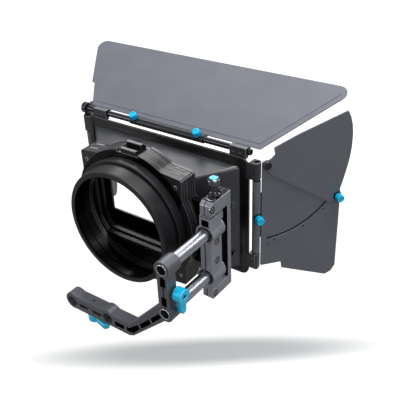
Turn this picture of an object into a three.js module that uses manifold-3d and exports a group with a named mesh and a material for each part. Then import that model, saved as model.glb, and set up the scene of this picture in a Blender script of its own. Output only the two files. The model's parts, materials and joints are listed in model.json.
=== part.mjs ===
// A swing-away matte box on 15 mm rods: support arm, swing block, filter stages, hood and folding flags.
// Millimetres. X is to the operator's right, Y points at the subject and Z is up. The origin lies midway
// between the two support-rod bores, on the support arm's rear face.
import * as THREE from 'three';
import { mergeVertices } from 'three/addons/utils/BufferGeometryUtils.js';
import Module from 'manifold-3d';

const wasm = await Module();
wasm.setup();

// Clearances
const seatGap = 0.3;
const cutOverrun = 1;

// Facet counts
const ringSides = 56;
const roundSides = 24;
const smallSides = 12;
const arcSteps = 4;

// Standard rods and the optical axis
const rodRadius = 7.5;
const rodPitch = 60;
const rodWall = 1.8;
const opticalHeight = 85;

// Support arm: clamp bar
const armDepth = 15;
const barTop = 9.2;
const barDrop = 9.5;
const clampTopStep = 1.6;
const clampTopEnd = 22;
const clampBossRadius = 11.7;
const clampBossInset = 1.4;
const clampBossRise = 1.5;
const clampSlotTop = 2;
const clampSlotHeight = 2;
const clampPocketHeight = 5.6;
const clampPocketInner = 4.2;
const clampPocketOuter = 18;
const clampHoleRadius = 1.4;
const clampHoleDepth = 4;
const clampHoleX = 2.2;
const clampHoleY = 7.1;

// Support arm: elbow and strut up to the side-rod bosses
const pocketDepth = 6;
const elbowFlatEnd = 64;
const elbowOuterX = 71.1;
const elbowOuterDrop = 6.3;
const elbowInnerX = 66.8;
const strutInnerInset = 9;
const strutInnerRise = 9.1;
const strutOuterDrop = 9.4;

// Side rods and their bosses on the arm
const sideRodX = 122.5;
const sideRodLowZ = 51.4;
const sideBossRadius = 10.6;
const sideBossDepth = 17.5;
const sideCollarRadius = 9.9;
const sideCollarDepth = 21.5;
const webInner = 7.7;
const webOuter = 6.5;
const webSlotWidth = 2;
const webPocketWidth = 7.4;
const webPocketInset = 10.6;
const webPocketLength = 12.5;
const webPocketDepth = 8;
const sideRodTail = 1;

// Outlines of the arm's pockets on its rear face, as shares of sideRodX from the origin
const armPocketShares = [
  [[0.338, 0.017], [0.338, -0.042], [0.456, -0.039], [0.462, 0.016]],
  [[0.491, 0.023], [0.494, -0.033], [0.57, -0.033], [0.674, 0.077], [0.642, 0.117], [0.525, 0.017]],
  [[0.668, 0.133], [0.691, 0.089], [0.819, 0.212], [0.796, 0.26]],
  [[0.815, 0.278], [0.838, 0.233], [0.957, 0.356], [0.922, 0.387]],
];

// Clamp levers
const leverHubRadius = 8.6;
const leverStemRadius = 2.5;
const leverSocketRadius = 3;
const leverSocketDepth = 4;
const tongueHalfWidth = 4.3;
const tongueThickness = 7;
const clampLeverHubLength = 9;
const clampLeverReach = 28.5;
const clampLeverTurn = -14;
const clampStemRise = 6;
const armLeverHubLength = 11.5;
const armLeverReach = 24;
const armLeverY = 11.5;
const armLeverZ = 77;
const leverWasherRadius = 7.4;
const leverWasherThickness = 1.6;

// Swing block
const blockRear = 78.9;
const blockDepth = 21.3;
const blockHeadDepth = 25;
const swingCentreX = 123.8;
const swingHalfWidth = 7.7;
const blockBottom = 34;
const blockTop = 135.5;
const blockHeadHeight = 11;
const collarRadius = 12.2;
const collarDepth = 25;
const bushRadius = 10;
const blockSlotWidth = 2;
const blockSlotDepth = 13;
const blockSlotInset = 10;
const headPocketHalfWidth = 5;
const headPocketHeight = 8.8;
const headPocketDrop = 4.5;
const headPocketDepth = 4;
const blockScrewY = 90.5;
const blockScrewUpperZ = 98.6;
const blockScrewLowerZ = 72.4;
const blockScrewLength = 14;

// Swing pivot and its screws
const pinX = 124.5;
const pinY = 91.7;
const pinRadius = 3;
const pinHeadRadius = 4.3;
const pinHeadHeight = 3;
const pinUpperDepth = 9;
const pinLowerDepth = 3.6;
const swingLimitTurn = -110;

// Cap screws on the swing parts
const capScrewRadius = 1.8;
const capHeadRadius = 3.3;
const capHeadHeight = 3;
const capSocketRadius = 1.6;
const capSocketDepth = 1.8;

// Swing bracket
const bracketArmGap = 0.5;
const bracketRear = 80.5;
const bracketFront = 120.3;
const bracketBarDepth = 7.1;
const bracketTop = 153;
const bracketBottom = 20;
const bracketSplitX = 122.8;
const bracketBevel = 4;
const bracketScrewUpperY = 83.6;
const bracketScrewUpperZ = 144.6;
const bracketScrewLowerY = 85.2;
const bracketScrewLowerZ = 26.4;
const bracketScrewLength = 12.5;
const ribGrooveDepth = 1;
const ribGrooveHeight = 1.4;
const ribGrooveCount = 3;

// Swing lock
const lockX = 123.2;
const lockY = 99.5;
const lockPinRadius = 2.3;
const lockPinGap = 0.3;
const lockTravel = 1.8;
const lockDetentDepth = 2.6;
const lockSkirtRadius = 7.6;
const lockSkirtHeight = 2.4;
const lockWaistRadius = 4.6;
const lockWaistLength = 10.2;
const lockCapRadius = 8.2;
const lockCapHeight = 8.5;
const lockCapEdge = 1.6;

// Filter stages
const stageRadius = 93;
const stageEarHalfWidth = 80;
const stageEarHalfHeight = 79;
const stageEarCornerDrop = 3;
const stageEarCornerChamfer = 2.5;
const stageEarStart = 50;
const stageDepth = 11.2;
const stageGap = 0.3;
const rearStageY = 95.5;
const stageNotchHalfWidth = 17;
const stageNotchHeight = 89;
const stageBoreRadius = 76.5;
const apertureHalfWidth = 75;
const apertureHalfHeight = 50;
const apertureChamferWidth = 12;
const apertureChamferHeight = 20;
const trayPocketDepth = 5;
const trayPocketHalfWidth = 76.8;
const trayPocketBottom = 60.3;
const trayFrameHalfWidth = 71;
const trayFrameHalfHeight = 47.5;
const trayGrooveHalfWidth = 73;
const trayGrooveDepth = 1.2;
const trayClipHalfWidth = 12;
const rearClipHeight = 5;
const frontClipHeight = 9.4;
const trayClipReach = 5;
const stageScrewX = 71;
const stageScrewZ = 64;
const stageScrewDepth = 4;
const stageScrewRadius = 2.6;

// Mount between the front stage and the swing bracket
const mountBottom = 40;
const mountTop = 130;
const mountDepth = 7;

// Rear ring
const ringRear = 62.2;
const ringLipRadius = 70.2;
const ringLipDepth = 2.4;
const ringRearRadius = 77.5;
const ringFrontRadius = 79.5;
const ringEdge = 0.8;
const ringGrooveRadius = 78.3;
const ringGrooveY = 81.6;
const ringGrooveWidth = 1.2;
const flangeRadius = 83.5;
const flangeEdge = 1;
const ringBoreRadius = 74.5;
const ringSeatRadius = 76.2;
const ringSeatDepth = 6;

// Hood
const hoodPlateDepth = 5;
const hoodRearHalfWidth = 77.2;
const hoodRearHalfHeight = 68;
const hoodFrontHalfWidth = 117.6;
const hoodFrontHalfHeight = 74.5;
const hoodFlareRear = 120.4;
const hoodWall = 2.5;
const hoodCorner = 4;
const hoodBossRadius = 6;
const hoodBossRise = 2.2;
const hoodBossUpperRise = 23;
const hoodBossLowerDrop = 54;

// Hood frame
const frameRear = 162.5;
const frameDepth = 3.8;
const frameFlange = 12;
const frameHalfWidth = hoodFrontHalfWidth + frameFlange;
const frameTop = 86.3;
const frameDrop = 84;
const frameCorner = 11;
const frameSeatEdge = 1;
const frameRidgeInset = 3;
const frameRidgeWidth = 4;
const frameRidgeHeight = 1;
const mouthInset = 15.1;
const mouthHalfWidth = hoodFrontHalfWidth - mouthInset;
const mouthHalfHeight = 56;

// Flag rods and their brackets
const flagRodRadius = 4;
const flagRodWall = 1.4;
const topRodY = 173.2;
const topRodZ = 176.4;
const topRodOverhang = 9.4;
const topRodInset = 2.4;
const topRodLeft = frameHalfWidth + topRodOverhang;
const topRodRight = frameHalfWidth - topRodInset;
const topKnobRadius = 7.6;
const topKnobLength = 6.5;
const topBracketInset = 6.6;
const topBracketLength = 23;
const topBracketOuter = frameHalfWidth - topBracketInset;
const topBracketInner = topBracketOuter - topBracketLength;
const topBracketBottom = 168.5;
const topBracketNose = 5.9;
const sideRodStandOff = 7.2;
const sideRodFlagX = frameHalfWidth + sideRodStandOff;
const sideRodFlagY = 169.6;
const sideRodFlagBottom = 12.6;
const sideRodFlagTop = topRodZ - topKnobRadius - seatGap;
const sideBracketTop = 168.4;
const sideBracketUpperHeight = 22.3;
const sideBracketBottom = 16;
const sideBracketLowerHeight = 21.5;
const sideBracketNose = 5.3;
const sideBracketLip = 3;
const sideBracketChamferX = 2.2;
const sideBracketChamferY = 3.1;
const setHoleRadius = 1.3;
const setHoleDepth = 1.8;
const setHoleInset = 5.6;
const setHolePitch = 9.5;

// Flags: shared sizes
const panelThickness = 2.4;
const wingThickness = 1.6;
const hingeBarrelRadius = 5.2;
const tongueDepth = 12;
const tongueThick = 1.3;
const thumbHeadRadius = 5;
const thumbHeadLength = 7.5;
const topThumbCollar = 1;
const hingeThumbCollar = 3.4;
const wingThumbCollar = 2.6;
const thumbCollarRadius = 3.6;
const thumbStemRadius = 1.8;
const thumbScallopCount = 6;
const thumbScallopSides = 6;
const thumbScallopRadius = 0.9;

// Top flag, in its own frame: X across, Y away from the rod, Z off its upper face
const topFlagTilt = 28.7;
const topFlagStart = 6.7;
const topFlagRootHalfWidth = 135.3;
const topFlagTipHalfWidth = 209.9;
const topFlagReach = 122;
const topFlagCorner = 12;
const topFlagThickness = 1.6;
const topFlagFieldInset = 7;
const topFlagFieldRise = 0.5;
const topFlagStepY = 43.5;
const topFlagStepOut = 4.8;
const topBarrelHalfLength = 59;
const topThumbX = 51;

// Side flags, in their own frame: X away from the rod, Y off their inner face, Z up
const rightFlagTurn = 52;
const leftFlagTurn = 60;
const leftWingFold = 40;
const flagOffset = 1.6;
const flagShift = 1.23;
const sideBarrelBottom = 38.3;
const sideBarrelTop = 143;
const sideTongueBottom = 60;
const sideTongueTop = 125;
const sideThumbZ = 93;
const wingPivotX = 10.1;
const wingPivotZ = 163.5;
const wingPivotRadius = 2.2;
const wingHeadRadius = 5.2;
const wingHeadHeight = 2.4;
const flagLength = 100;
const guideRadiusShare = 1.057;
const guideRadius = flagLength * guideRadiusShare;
const guideHalfWidth = 1.45;
const guideDepth = 1.2;
const guideStartTurn = -88.7;
const guideEndTurn = -34.6;
const guideTail = 12.5;
const guidePinRadius = 1;
const guidePinTurn = -36.1;
const guidePinDepth = 0.8;
const wingLockXShare = 0.961;
const wingLockZShare = -0.605;
const wingLockX = wingPivotX + flagLength * wingLockXShare;
const wingLockZ = wingPivotZ + flagLength * wingLockZShare;

// Outlines of the side flag's panel and wing, as shares of flagLength from the wing's pivot
const panelOutlineShares = [
  [-0.053, -1.466], [0.231, -1.476], [0.245, -1.578], [0.884, -1.848], [0.975, -1.812],
  [1.028, -1.724], [1.016, -0.734], [1.005, -0.66], [0.86, -0.56], [0.3, -0.12], [0.11, 0.02],
  [0.05, 0.05], [0, 0.055], [-0.053, 0.035],
];
const wingOutlineShares = [
  [0.037, -0.123], [0.81, -0.654], [0.9, -0.68], [0.985, -0.667], [1.014, -0.6], [0.994, -0.515],
  [1.023, -0.408], [1.049, -0.302], [1.074, -0.187], [1.093, -0.073], [1.103, 0.03], [1.105, 0.132],
  [1.101, 0.245], [1.085, 0.36], [1.057, 0.452], [1.014, 0.539], [0.396, 0.34],
  [0.083, 0.215], [0.1, 0.125], [0.06, 0.085], [0, 0.05], [-0.035, 0.035], [-0.05, 0], [-0.011, -0.05],
];

// Finishes, read from the photograph
const blackSatin = { color: 0x2a2b2e, roughness: 0.5, metalness: 0.3 };
const blackGloss = { color: 0x17181a, roughness: 0.28, metalness: 0.2 };
const greyAnodised = { color: 0x4a4b50, roughness: 0.42, metalness: 0.7 };
const flagPaint = { color: 0x4b4d52, roughness: 0.55, metalness: 0.2 };
const chromeSteel = { color: 0xd0d2d6, roughness: 0.12, metalness: 1 };
const darkSteel = { color: 0x3c3d40, roughness: 0.35, metalness: 0.9 };
const blueAnodised = { color: 0x1a8fc8, roughness: 0.28, metalness: 0.75 };

// Each extrusion axis, with the frame that turns a drawn outline to face along it
const drawFrames = {
  x: new THREE.Matrix4().makeBasis(
    new THREE.Vector3(0, 1, 0), new THREE.Vector3(0, 0, 1), new THREE.Vector3(1, 0, 0)),
  y: new THREE.Matrix4().makeBasis(
    new THREE.Vector3(1, 0, 0), new THREE.Vector3(0, 0, 1), new THREE.Vector3(0, -1, 0)),
  z: new THREE.Matrix4(),
};

const radians = THREE.MathUtils.degToRad;

// Closed geometry as a solid, with shared corners merged and pinched triangles dropped
function solid(geometry) {
  const bare = geometry.clone();
  bare.deleteAttribute('normal');
  bare.deleteAttribute('uv');
  const merged = mergeVertices(bare, 1e-5);
  const corners = merged.index.array;
  const triangles = [];
  for (let i = 0; i < corners.length; i += 3) {
    const [a, b, c] = [corners[i], corners[i + 1], corners[i + 2]];
    if (a !== b && b !== c && c !== a) {
      triangles.push(a, b, c);
    }
  }
  const vertProperties = new Float32Array(merged.attributes.position.array);
  const triVerts = new Uint32Array(triangles);
  return new wasm.Manifold(new wasm.Mesh({ numProp: 3, vertProperties, triVerts }));
}

// Box between two limits on each axis
function block(x, y, z) {
  const geometry = new THREE.BoxGeometry(x[1] - x[0], y[1] - y[0], z[1] - z[0]);
  geometry.translate((x[0] + x[1]) / 2, (y[0] + y[1]) / 2, (z[0] + z[1]) / 2);
  return solid(geometry);
}

// Stands a geometry drawn about Y on another axis, with its axis through a point of the cross plane
function standOn(axis, geometry, shift, at) {
  if (axis === 'x') {
    geometry.rotateZ(-Math.PI / 2);
    geometry.translate(shift, at[0], at[1]);
  } else if (axis === 'y') {
    geometry.translate(at[0], shift, at[1]);
  } else {
    geometry.rotateX(Math.PI / 2);
    geometry.translate(at[0], at[1], shift);
  }
  return geometry;
}

// Round bar along an axis
function round(axis, radius, span, at = [0, 0], sides = roundSides) {
  const geometry = new THREE.CylinderGeometry(radius, radius, span[1] - span[0], sides);
  return solid(standOn(axis, geometry, (span[0] + span[1]) / 2, at));
}

// Turned piece: a profile of [radius, height] points spun about an axis
function turned(axis, profile, at = [0, 0], sides = roundSides) {
  const points = profile.map(([radius, height]) => new THREE.Vector2(radius, height));
  if (profile[0][0] > 0) {
    points.push(points[0].clone());
  }
  return solid(standOn(axis, new THREE.LatheGeometry(points, sides), 0, at));
}

// Flat piece: an outline drawn across an axis and extruded along it
function slab(axis, outline, span) {
  const shape = new THREE.Shape(outline.map(([a, b]) => new THREE.Vector2(a, b)));
  const geometry = new THREE.ExtrudeGeometry(shape, { depth: span[1] - span[0], bevelEnabled: false });
  geometry.applyMatrix4(drawFrames[axis]);
  const shift = { x: 0, y: 0, z: 0 };
  shift[axis] = axis === 'y' ? span[1] : span[0];
  geometry.translate(shift.x, shift.y, shift.z);
  return solid(geometry);
}

// Rectangle with round corners, centred
function roundedRectangle(halfWidth, halfHeight, corner) {
  const points = [];
  const centres = [[1, 1], [-1, 1], [-1, -1], [1, -1]];
  centres.forEach(([sideX, sideZ], quarter) => {
    for (let i = 0; i <= arcSteps; i += 1) {
      const turn = (quarter + i / arcSteps) * Math.PI / 2;
      points.push([
        sideX * (halfWidth - corner) + corner * Math.cos(turn),
        sideZ * (halfHeight - corner) + corner * Math.sin(turn),
      ]);
    }
  });
  return points;
}

// Arc of points about a centre
function arc(centre, radius, start, end, steps) {
  const points = [];
  for (let i = 0; i <= steps; i += 1) {
    const turn = radians(start + (end - start) * i / steps);
    points.push([centre[0] + radius * Math.cos(turn), centre[1] + radius * Math.sin(turn)]);
  }
  return points;
}

// Named sub-part with a material of its own
function piece(name, shape, finish, place = [0, 0, 0]) {
  const data = shape.getMesh();
  const geometry = new THREE.BufferGeometry();
  geometry.setAttribute('position', new THREE.BufferAttribute(new Float32Array(data.vertProperties), 3));
  geometry.setIndex(new THREE.BufferAttribute(new Uint32Array(data.triVerts), 1));
  geometry.computeVertexNormals();
  const mesh = new THREE.Mesh(geometry, new THREE.MeshStandardMaterial(finish));
  mesh.name = name;
  mesh.position.set(...place);
  return mesh;
}

function group(...members) {
  const result = new THREE.Group();
  result.add(...members);
  return result;
}

// Clamp end of the arm: two rod bosses, the bar and the slot that lets them close
function clampBar() {
  const bossX = rodPitch / 2 - clampBossInset;
  const depth = [0, armDepth];
  let shape = slab('y', [
    [-bossX, -barDrop], [elbowFlatEnd, -barDrop], [elbowOuterX, -elbowOuterDrop],
    [elbowInnerX, barTop], [clampTopEnd, barTop], [clampTopEnd, barTop + clampTopStep],
    [-bossX, barTop + clampTopStep],
  ], depth);
  for (const side of [-1, 1]) {
    shape = shape.add(round('y', clampBossRadius, depth, [side * bossX, clampBossRise]));
  }
  return shape;
}

// Strut from the elbow to the side bosses, with the web between them
function armStrut() {
  const depth = [0, armDepth];
  const highZ = sideRodLowZ + rodPitch;
  let shape = slab('y', [
    [elbowFlatEnd, -barDrop], [elbowOuterX, -elbowOuterDrop], [sideRodX, sideRodLowZ - strutOuterDrop],
    [sideRodX, sideRodLowZ], [sideRodX - strutInnerInset, sideRodLowZ + strutInnerRise],
    [elbowInnerX, barTop], [elbowFlatEnd, barTop],
  ], depth);
  shape = shape.add(block([sideRodX - webInner, sideRodX + webOuter], depth, [sideRodLowZ, highZ]));
  for (const z of [sideRodLowZ, highZ]) {
    shape = shape.add(round('y', sideBossRadius, [0, sideBossDepth], [sideRodX, z]));
    shape = shape.add(round('y', sideCollarRadius, [0, sideCollarDepth], [sideRodX, z]));
  }
  return shape;
}

// Slots and pockets of the clamp bar and the web
function armSlots() {
  const through = [-cutOverrun, armDepth + cutOverrun];
  const highZ = sideRodLowZ + rodPitch;
  const slotBottom = clampSlotTop - clampSlotHeight;
  let cut = block([-rodPitch / 2, rodPitch / 2], through, [slotBottom, clampSlotTop]);
  for (const side of [-1, 1]) {
    const span = [side * clampPocketInner, side * clampPocketOuter].sort((a, b) => a - b);
    cut = cut.add(block(span, through, [clampSlotTop - clampPocketHeight, clampSlotTop]));
  }
  cut = cut.add(block([sideRodX - webSlotWidth / 2, sideRodX + webSlotWidth / 2], through,
    [sideRodLowZ, highZ]));
  const pocketStarts = [sideRodLowZ + webPocketInset, highZ - webPocketInset - webPocketLength];
  for (const z of pocketStarts) {
    cut = cut.add(block([sideRodX - webPocketWidth / 2, sideRodX + webPocketWidth / 2],
      [-cutOverrun, webPocketDepth], [z, z + webPocketLength]));
  }
  return cut;
}

// Blind pockets on both faces of the bar, the elbow and the strut
function armPockets() {
  const faces = [[-cutOverrun, pocketDepth], [armDepth - pocketDepth, armDepth + cutOverrun]];
  const outlines = armPocketShares.map((outline) => outline.map(([x, z]) => [x * sideRodX, z * sideRodX]));
  const cuts = outlines.flatMap((outline) => faces.map((face) => slab('y', outline, face)));
  return cuts.reduce((all, cut) => all.add(cut));
}

function supportArm() {
  const through = [-cutOverrun, armDepth + cutOverrun];
  const highZ = sideRodLowZ + rodPitch;
  let shape = clampBar().add(armStrut()).subtract(armSlots()).subtract(armPockets());
  for (const side of [-1, 1]) {
    shape = shape.subtract(round('y', rodRadius, through, [side * rodPitch / 2, 0]));
  }
  const throughBoss = [-cutOverrun, sideCollarDepth + cutOverrun];
  for (const z of [sideRodLowZ, highZ]) {
    shape = shape.subtract(round('y', rodRadius + seatGap, throughBoss, [sideRodX, z]));
  }
  const stemBore = leverStemRadius + seatGap;
  const topOfBar = barTop + clampTopStep;
  shape = shape.subtract(round('z', stemBore, [-barDrop - cutOverrun, clampStemRise + seatGap],
    [0, armDepth / 2], smallSides));
  shape = shape.subtract(round('x', stemBore,
    [sideRodX - webInner - cutOverrun, sideRodX + webOuter + cutOverrun], [armLeverY, armLeverZ], smallSides));
  shape = shape.subtract(round('z', clampHoleRadius, [topOfBar - clampHoleDepth, topOfBar + cutOverrun],
    [clampHoleX, clampHoleY], smallSides));
  return piece('support_arm', shape, blackSatin);
}

// Clamp lever about Z: hub from 0 upwards, tongue along +X, stem beyond the hub
function leverShape(hubLength, reach, stemLength, tongueInset) {
  const tongueTop = hubLength - tongueInset;
  const tongueSpan = [tongueTop - tongueThickness, tongueTop];
  let shape = round('z', leverHubRadius, [0, hubLength]);
  const tipX = reach - tongueHalfWidth;
  shape = shape.add(block([0, tipX], [-tongueHalfWidth, tongueHalfWidth], tongueSpan));
  shape = shape.add(round('z', tongueHalfWidth, tongueSpan, [tipX, 0]));
  shape = shape.add(round('z', leverStemRadius, [hubLength / 2, hubLength + stemLength], [0, 0], smallSides));
  return shape.subtract(round('z', leverSocketRadius, [-cutOverrun, leverSocketDepth], [0, 0], 6));
}

function clampLever() {
  const hubTop = -barDrop - seatGap;
  const stem = clampStemRise - hubTop;
  const underBoss = clampBossRadius - clampBossRise - barDrop + seatGap;
  const shape = leverShape(clampLeverHubLength, clampLeverReach, stem, underBoss);
  const mesh = piece('support_clamp_lever', shape, blueAnodised,
    [0, armDepth / 2, hubTop - clampLeverHubLength]);
  mesh.rotation.z = radians(clampLeverTurn);
  return mesh;
}

function armLever() {
  const washerRoom = leverWasherThickness + seatGap * 2;
  const stem = webInner + webOuter + washerRoom;
  const besideBoss = sideBossRadius - webOuter - leverWasherThickness;
  const shape = leverShape(armLeverHubLength, armLeverReach, stem, besideBoss);
  const hubX = sideRodX + webOuter + washerRoom + armLeverHubLength;
  const mesh = piece('arm_lever', shape, blueAnodised, [hubX, armLeverY, armLeverZ]);
  mesh.rotation.set(0, Math.PI / 2, Math.PI, 'ZYX');
  return mesh;
}

// Washer between the web and the arm lever's hub
function leverWasher() {
  const near = sideRodX + webOuter + seatGap;
  const span = [near, near + leverWasherThickness];
  const past = [span[0] - cutOverrun, span[1] + cutOverrun];
  const shape = round('x', leverWasherRadius, span)
    .subtract(round('x', leverStemRadius + seatGap, past, [0, 0], smallSides));
  return piece('arm_lever_washer', shape, darkSteel, [0, armLeverY, armLeverZ]);
}

// Chromed tube that slides in the arm and is fixed in the swing block
function sideRod(name, z) {
  const span = [-sideRodTail, blockRear + collarDepth - seatGap];
  const bore = [-sideRodTail - cutOverrun, blockRear + collarDepth + cutOverrun];
  const shape = round('y', rodRadius, span).subtract(round('y', rodRadius - rodWall, bore));
  return piece(name, shape, chromeSteel, [sideRodX, 0, z]);
}

function rodBush(name, z) {
  const span = [blockRear, blockRear + collarDepth];
  const bore = [blockRear - cutOverrun, blockRear + collarDepth + cutOverrun];
  const shape = round('y', bushRadius, span).subtract(round('y', rodRadius + seatGap, bore));
  return piece(name, shape, blackGloss, [sideRodX, 0, z]);
}

// Socket cap screw along -X: the head's top at 0, the shank below it
function capScrewShape(length) {
  let shape = round('x', capHeadRadius, [-capHeadHeight, 0], [0, 0], smallSides);
  shape = shape.add(round('x', capScrewRadius, [-length, -capHeadHeight / 2], [0, 0], smallSides));
  return shape.subtract(round('x', capSocketRadius, [-capSocketDepth, cutOverrun], [0, 0], 6));
}

// Room for a cap screw whose head lies flush with the face at x
function capScrewRoom(x, length, at) {
  const head = round('x', capHeadRadius + seatGap, [x - capHeadHeight - seatGap, x + cutOverrun], at, smallSides);
  const shank = round('x', capScrewRadius + seatGap, [x - length - seatGap, x], at, smallSides);
  return head.add(shank);
}

// Place of the lock's pin over the block's top when the swing is at an angle
function lockPlace(turn) {
  const angle = radians(turn);
  const x = lockX - pinX;
  const y = lockY - pinY;
  return [pinX + x * Math.cos(angle) - y * Math.sin(angle), pinY + x * Math.sin(angle) + y * Math.cos(angle)];
}

function swingBlock() {
  const outerX = swingCentreX + swingHalfWidth;
  const width = [swingCentreX - swingHalfWidth, outerX];
  const rods = [sideRodLowZ, sideRodLowZ + rodPitch];
  let shape = block(width, [blockRear, blockRear + blockDepth], [blockBottom, blockTop]);
  shape = shape.add(block(width, [blockRear, blockRear + blockHeadDepth],
    [blockTop - blockHeadHeight, blockTop]));
  for (const z of rods) {
    shape = shape.add(round('y', collarRadius, [blockRear, blockRear + collarDepth], [sideRodX, z]));
  }
  for (const z of rods) {
    shape = shape.subtract(round('y', bushRadius + seatGap,
      [blockRear - cutOverrun, blockRear + collarDepth + cutOverrun], [sideRodX, z]));
  }
  const slotX = [sideRodX - blockSlotWidth / 2, sideRodX + blockSlotWidth / 2];
  shape = shape.subtract(block(slotX, [blockRear - cutOverrun, blockRear + blockSlotDepth],
    [rods[0] + blockSlotInset, rods[1] - blockSlotInset]));
  const pocketTop = blockTop - headPocketDrop;
  shape = shape.subtract(block([swingCentreX - headPocketHalfWidth, swingCentreX + headPocketHalfWidth],
    [blockRear - cutOverrun, blockRear + headPocketDepth], [pocketTop - headPocketHeight, pocketTop]));
  for (const z of [blockScrewUpperZ, blockScrewLowerZ]) {
    shape = shape.subtract(capScrewRoom(outerX, blockScrewLength, [blockScrewY, z]));
  }
  const pinBore = pinRadius + seatGap;
  shape = shape.subtract(round('z', pinBore, [blockTop - pinUpperDepth - seatGap, blockTop + cutOverrun],
    [pinX, pinY], smallSides));
  shape = shape.subtract(round('z', pinBore, [blockBottom - cutOverrun, blockBottom + pinLowerDepth + seatGap],
    [pinX, pinY], smallSides));
  for (const turn of [0, swingLimitTurn]) {
    shape = shape.subtract(round('z', lockPinRadius + seatGap,
      [blockTop - lockDetentDepth, blockTop + cutOverrun], lockPlace(turn), smallSides));
  }
  return piece('swing_block', shape, greyAnodised);
}

function blockScrew(name, z) {
  const place = [swingCentreX + swingHalfWidth, blockScrewY, z];
  return piece(name, capScrewShape(blockScrewLength), darkSteel, place);
}

// Shoulder screw of the swing pivot: head's top at 0, shank below
function pivotScrewShape(length) {
  let shape = round('z', pinHeadRadius, [-pinHeadHeight, 0]);
  shape = shape.add(round('z', pinRadius, [-length, -pinHeadHeight / 2], [0, 0], smallSides));
  return shape.subtract(round('z', capSocketRadius, [-capSocketDepth, cutOverrun], [0, 0], 6));
}

function upperPivotScrew() {
  const length = bracketTop - blockTop + pinUpperDepth;
  return piece('pivot_screw_upper', pivotScrewShape(length), chromeSteel, [pinX, pinY, bracketTop]);
}

function lowerPivotScrew() {
  const length = blockBottom - bracketBottom + pinLowerDepth;
  const mesh = piece('pivot_screw_lower', pivotScrewShape(length), chromeSteel, [pinX, pinY, bracketBottom]);
  mesh.rotation.x = Math.PI;
  return mesh;
}

// One half of the C-shaped swing bracket, between two limits on X
function bracketHalf(width) {
  const armTop = blockBottom - bracketArmGap;
  const armBottom = blockTop + bracketArmGap;
  const barRear = bracketFront - bracketBarDepth;
  const outline = [
    [bracketRear, bracketBottom], [bracketFront, bracketBottom], [bracketFront, bracketTop],
    [bracketRear + bracketBevel, bracketTop], [bracketRear, bracketTop - bracketBevel],
    [bracketRear, armBottom], [barRear, armBottom], [barRear, armTop], [bracketRear, armTop],
  ];
  let shape = slab('x', outline, width);
  const across = [width[0] - cutOverrun, width[1] + cutOverrun];
  for (let i = 0; i < ribGrooveCount; i += 1) {
    const z = bracketBottom + (armTop - bracketBottom) * (i + 1) / (ribGrooveCount + 1);
    shape = shape.subtract(block(across, [bracketRear - cutOverrun, bracketRear + ribGrooveDepth],
      [z - ribGrooveHeight / 2, z + ribGrooveHeight / 2]));
  }
  return shape.subtract(bracketBores(armTop, armBottom));
}

// Pivot, lock and screw bores that both halves share
function bracketBores(armTop, armBottom) {
  const outerX = swingCentreX + swingHalfWidth;
  const headBore = pinHeadRadius + seatGap;
  const headDepth = pinHeadHeight + seatGap;
  const above = bracketTop + cutOverrun;
  const below = bracketBottom - cutOverrun;
  const cuts = [
    round('z', pinRadius + seatGap, [armBottom - cutOverrun, above], [pinX, pinY], smallSides),
    round('z', headBore, [bracketTop - headDepth, above], [pinX, pinY]),
    round('z', pinRadius + seatGap, [below, armTop + cutOverrun], [pinX, pinY], smallSides),
    round('z', headBore, [below, bracketBottom + headDepth], [pinX, pinY]),
    round('z', lockPinRadius + seatGap, [armBottom - cutOverrun, above], [lockX, lockY], smallSides),
    capScrewRoom(outerX, bracketScrewLength, [bracketScrewUpperY, bracketScrewUpperZ]),
    capScrewRoom(outerX, bracketScrewLength, [bracketScrewLowerY, bracketScrewLowerZ]),
  ];
  return cuts.reduce((all, cut) => all.add(cut));
}

function swingBracket() {
  const halfGap = seatGap / 2;
  const inner = [swingCentreX - swingHalfWidth, bracketSplitX - halfGap];
  const outer = [bracketSplitX + halfGap, swingCentreX + swingHalfWidth];
  const screw = capScrewShape(bracketScrewLength);
  const outerX = swingCentreX + swingHalfWidth;
  return group(
    piece('swing_bracket_inner', bracketHalf(inner), greyAnodised),
    piece('swing_bracket_outer', bracketHalf(outer), greyAnodised),
    piece('bracket_screw_upper', screw, darkSteel, [outerX, bracketScrewUpperY, bracketScrewUpperZ]),
    piece('bracket_screw_lower', screw, darkSteel, [outerX, bracketScrewLowerY, bracketScrewLowerZ]),
  );
}

// Push-pull lock: pin through the bracket's top arm, skirt and waist above it, cap on top
function swingLock() {
  const pinBottom = blockTop + lockPinGap;
  const skirtBottom = bracketTop + seatGap + lockTravel;
  const skirtTop = skirtBottom + lockSkirtHeight;
  const waistTop = skirtTop + lockWaistLength;
  const profile = [
    [0, pinBottom], [lockPinRadius, pinBottom], [lockPinRadius, skirtBottom], [lockSkirtRadius, skirtBottom],
    [lockSkirtRadius, skirtTop], [(lockSkirtRadius + lockWaistRadius * 2) / 3, skirtTop + lockWaistLength / 3],
    [lockWaistRadius, skirtTop + lockWaistLength * 2 / 3], [lockWaistRadius, waistTop], [0, waistTop],
  ];
  const capBottom = waistTop + seatGap;
  const capTop = capBottom + lockCapHeight;
  const capProfile = [
    [0, capBottom], [lockCapRadius - lockCapEdge, capBottom], [lockCapRadius, capBottom + lockCapEdge],
    [lockCapRadius, capTop - lockCapEdge * 2], [lockCapRadius - lockCapEdge, capTop - lockCapEdge / 2],
    [0, capTop],
  ];
  return group(
    piece('swing_lock_plunger', turned('z', profile), darkSteel, [lockX, lockY, 0]),
    piece('swing_lock_cap', turned('z', capProfile), darkSteel, [lockX, lockY, 0]),
  );
}

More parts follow.
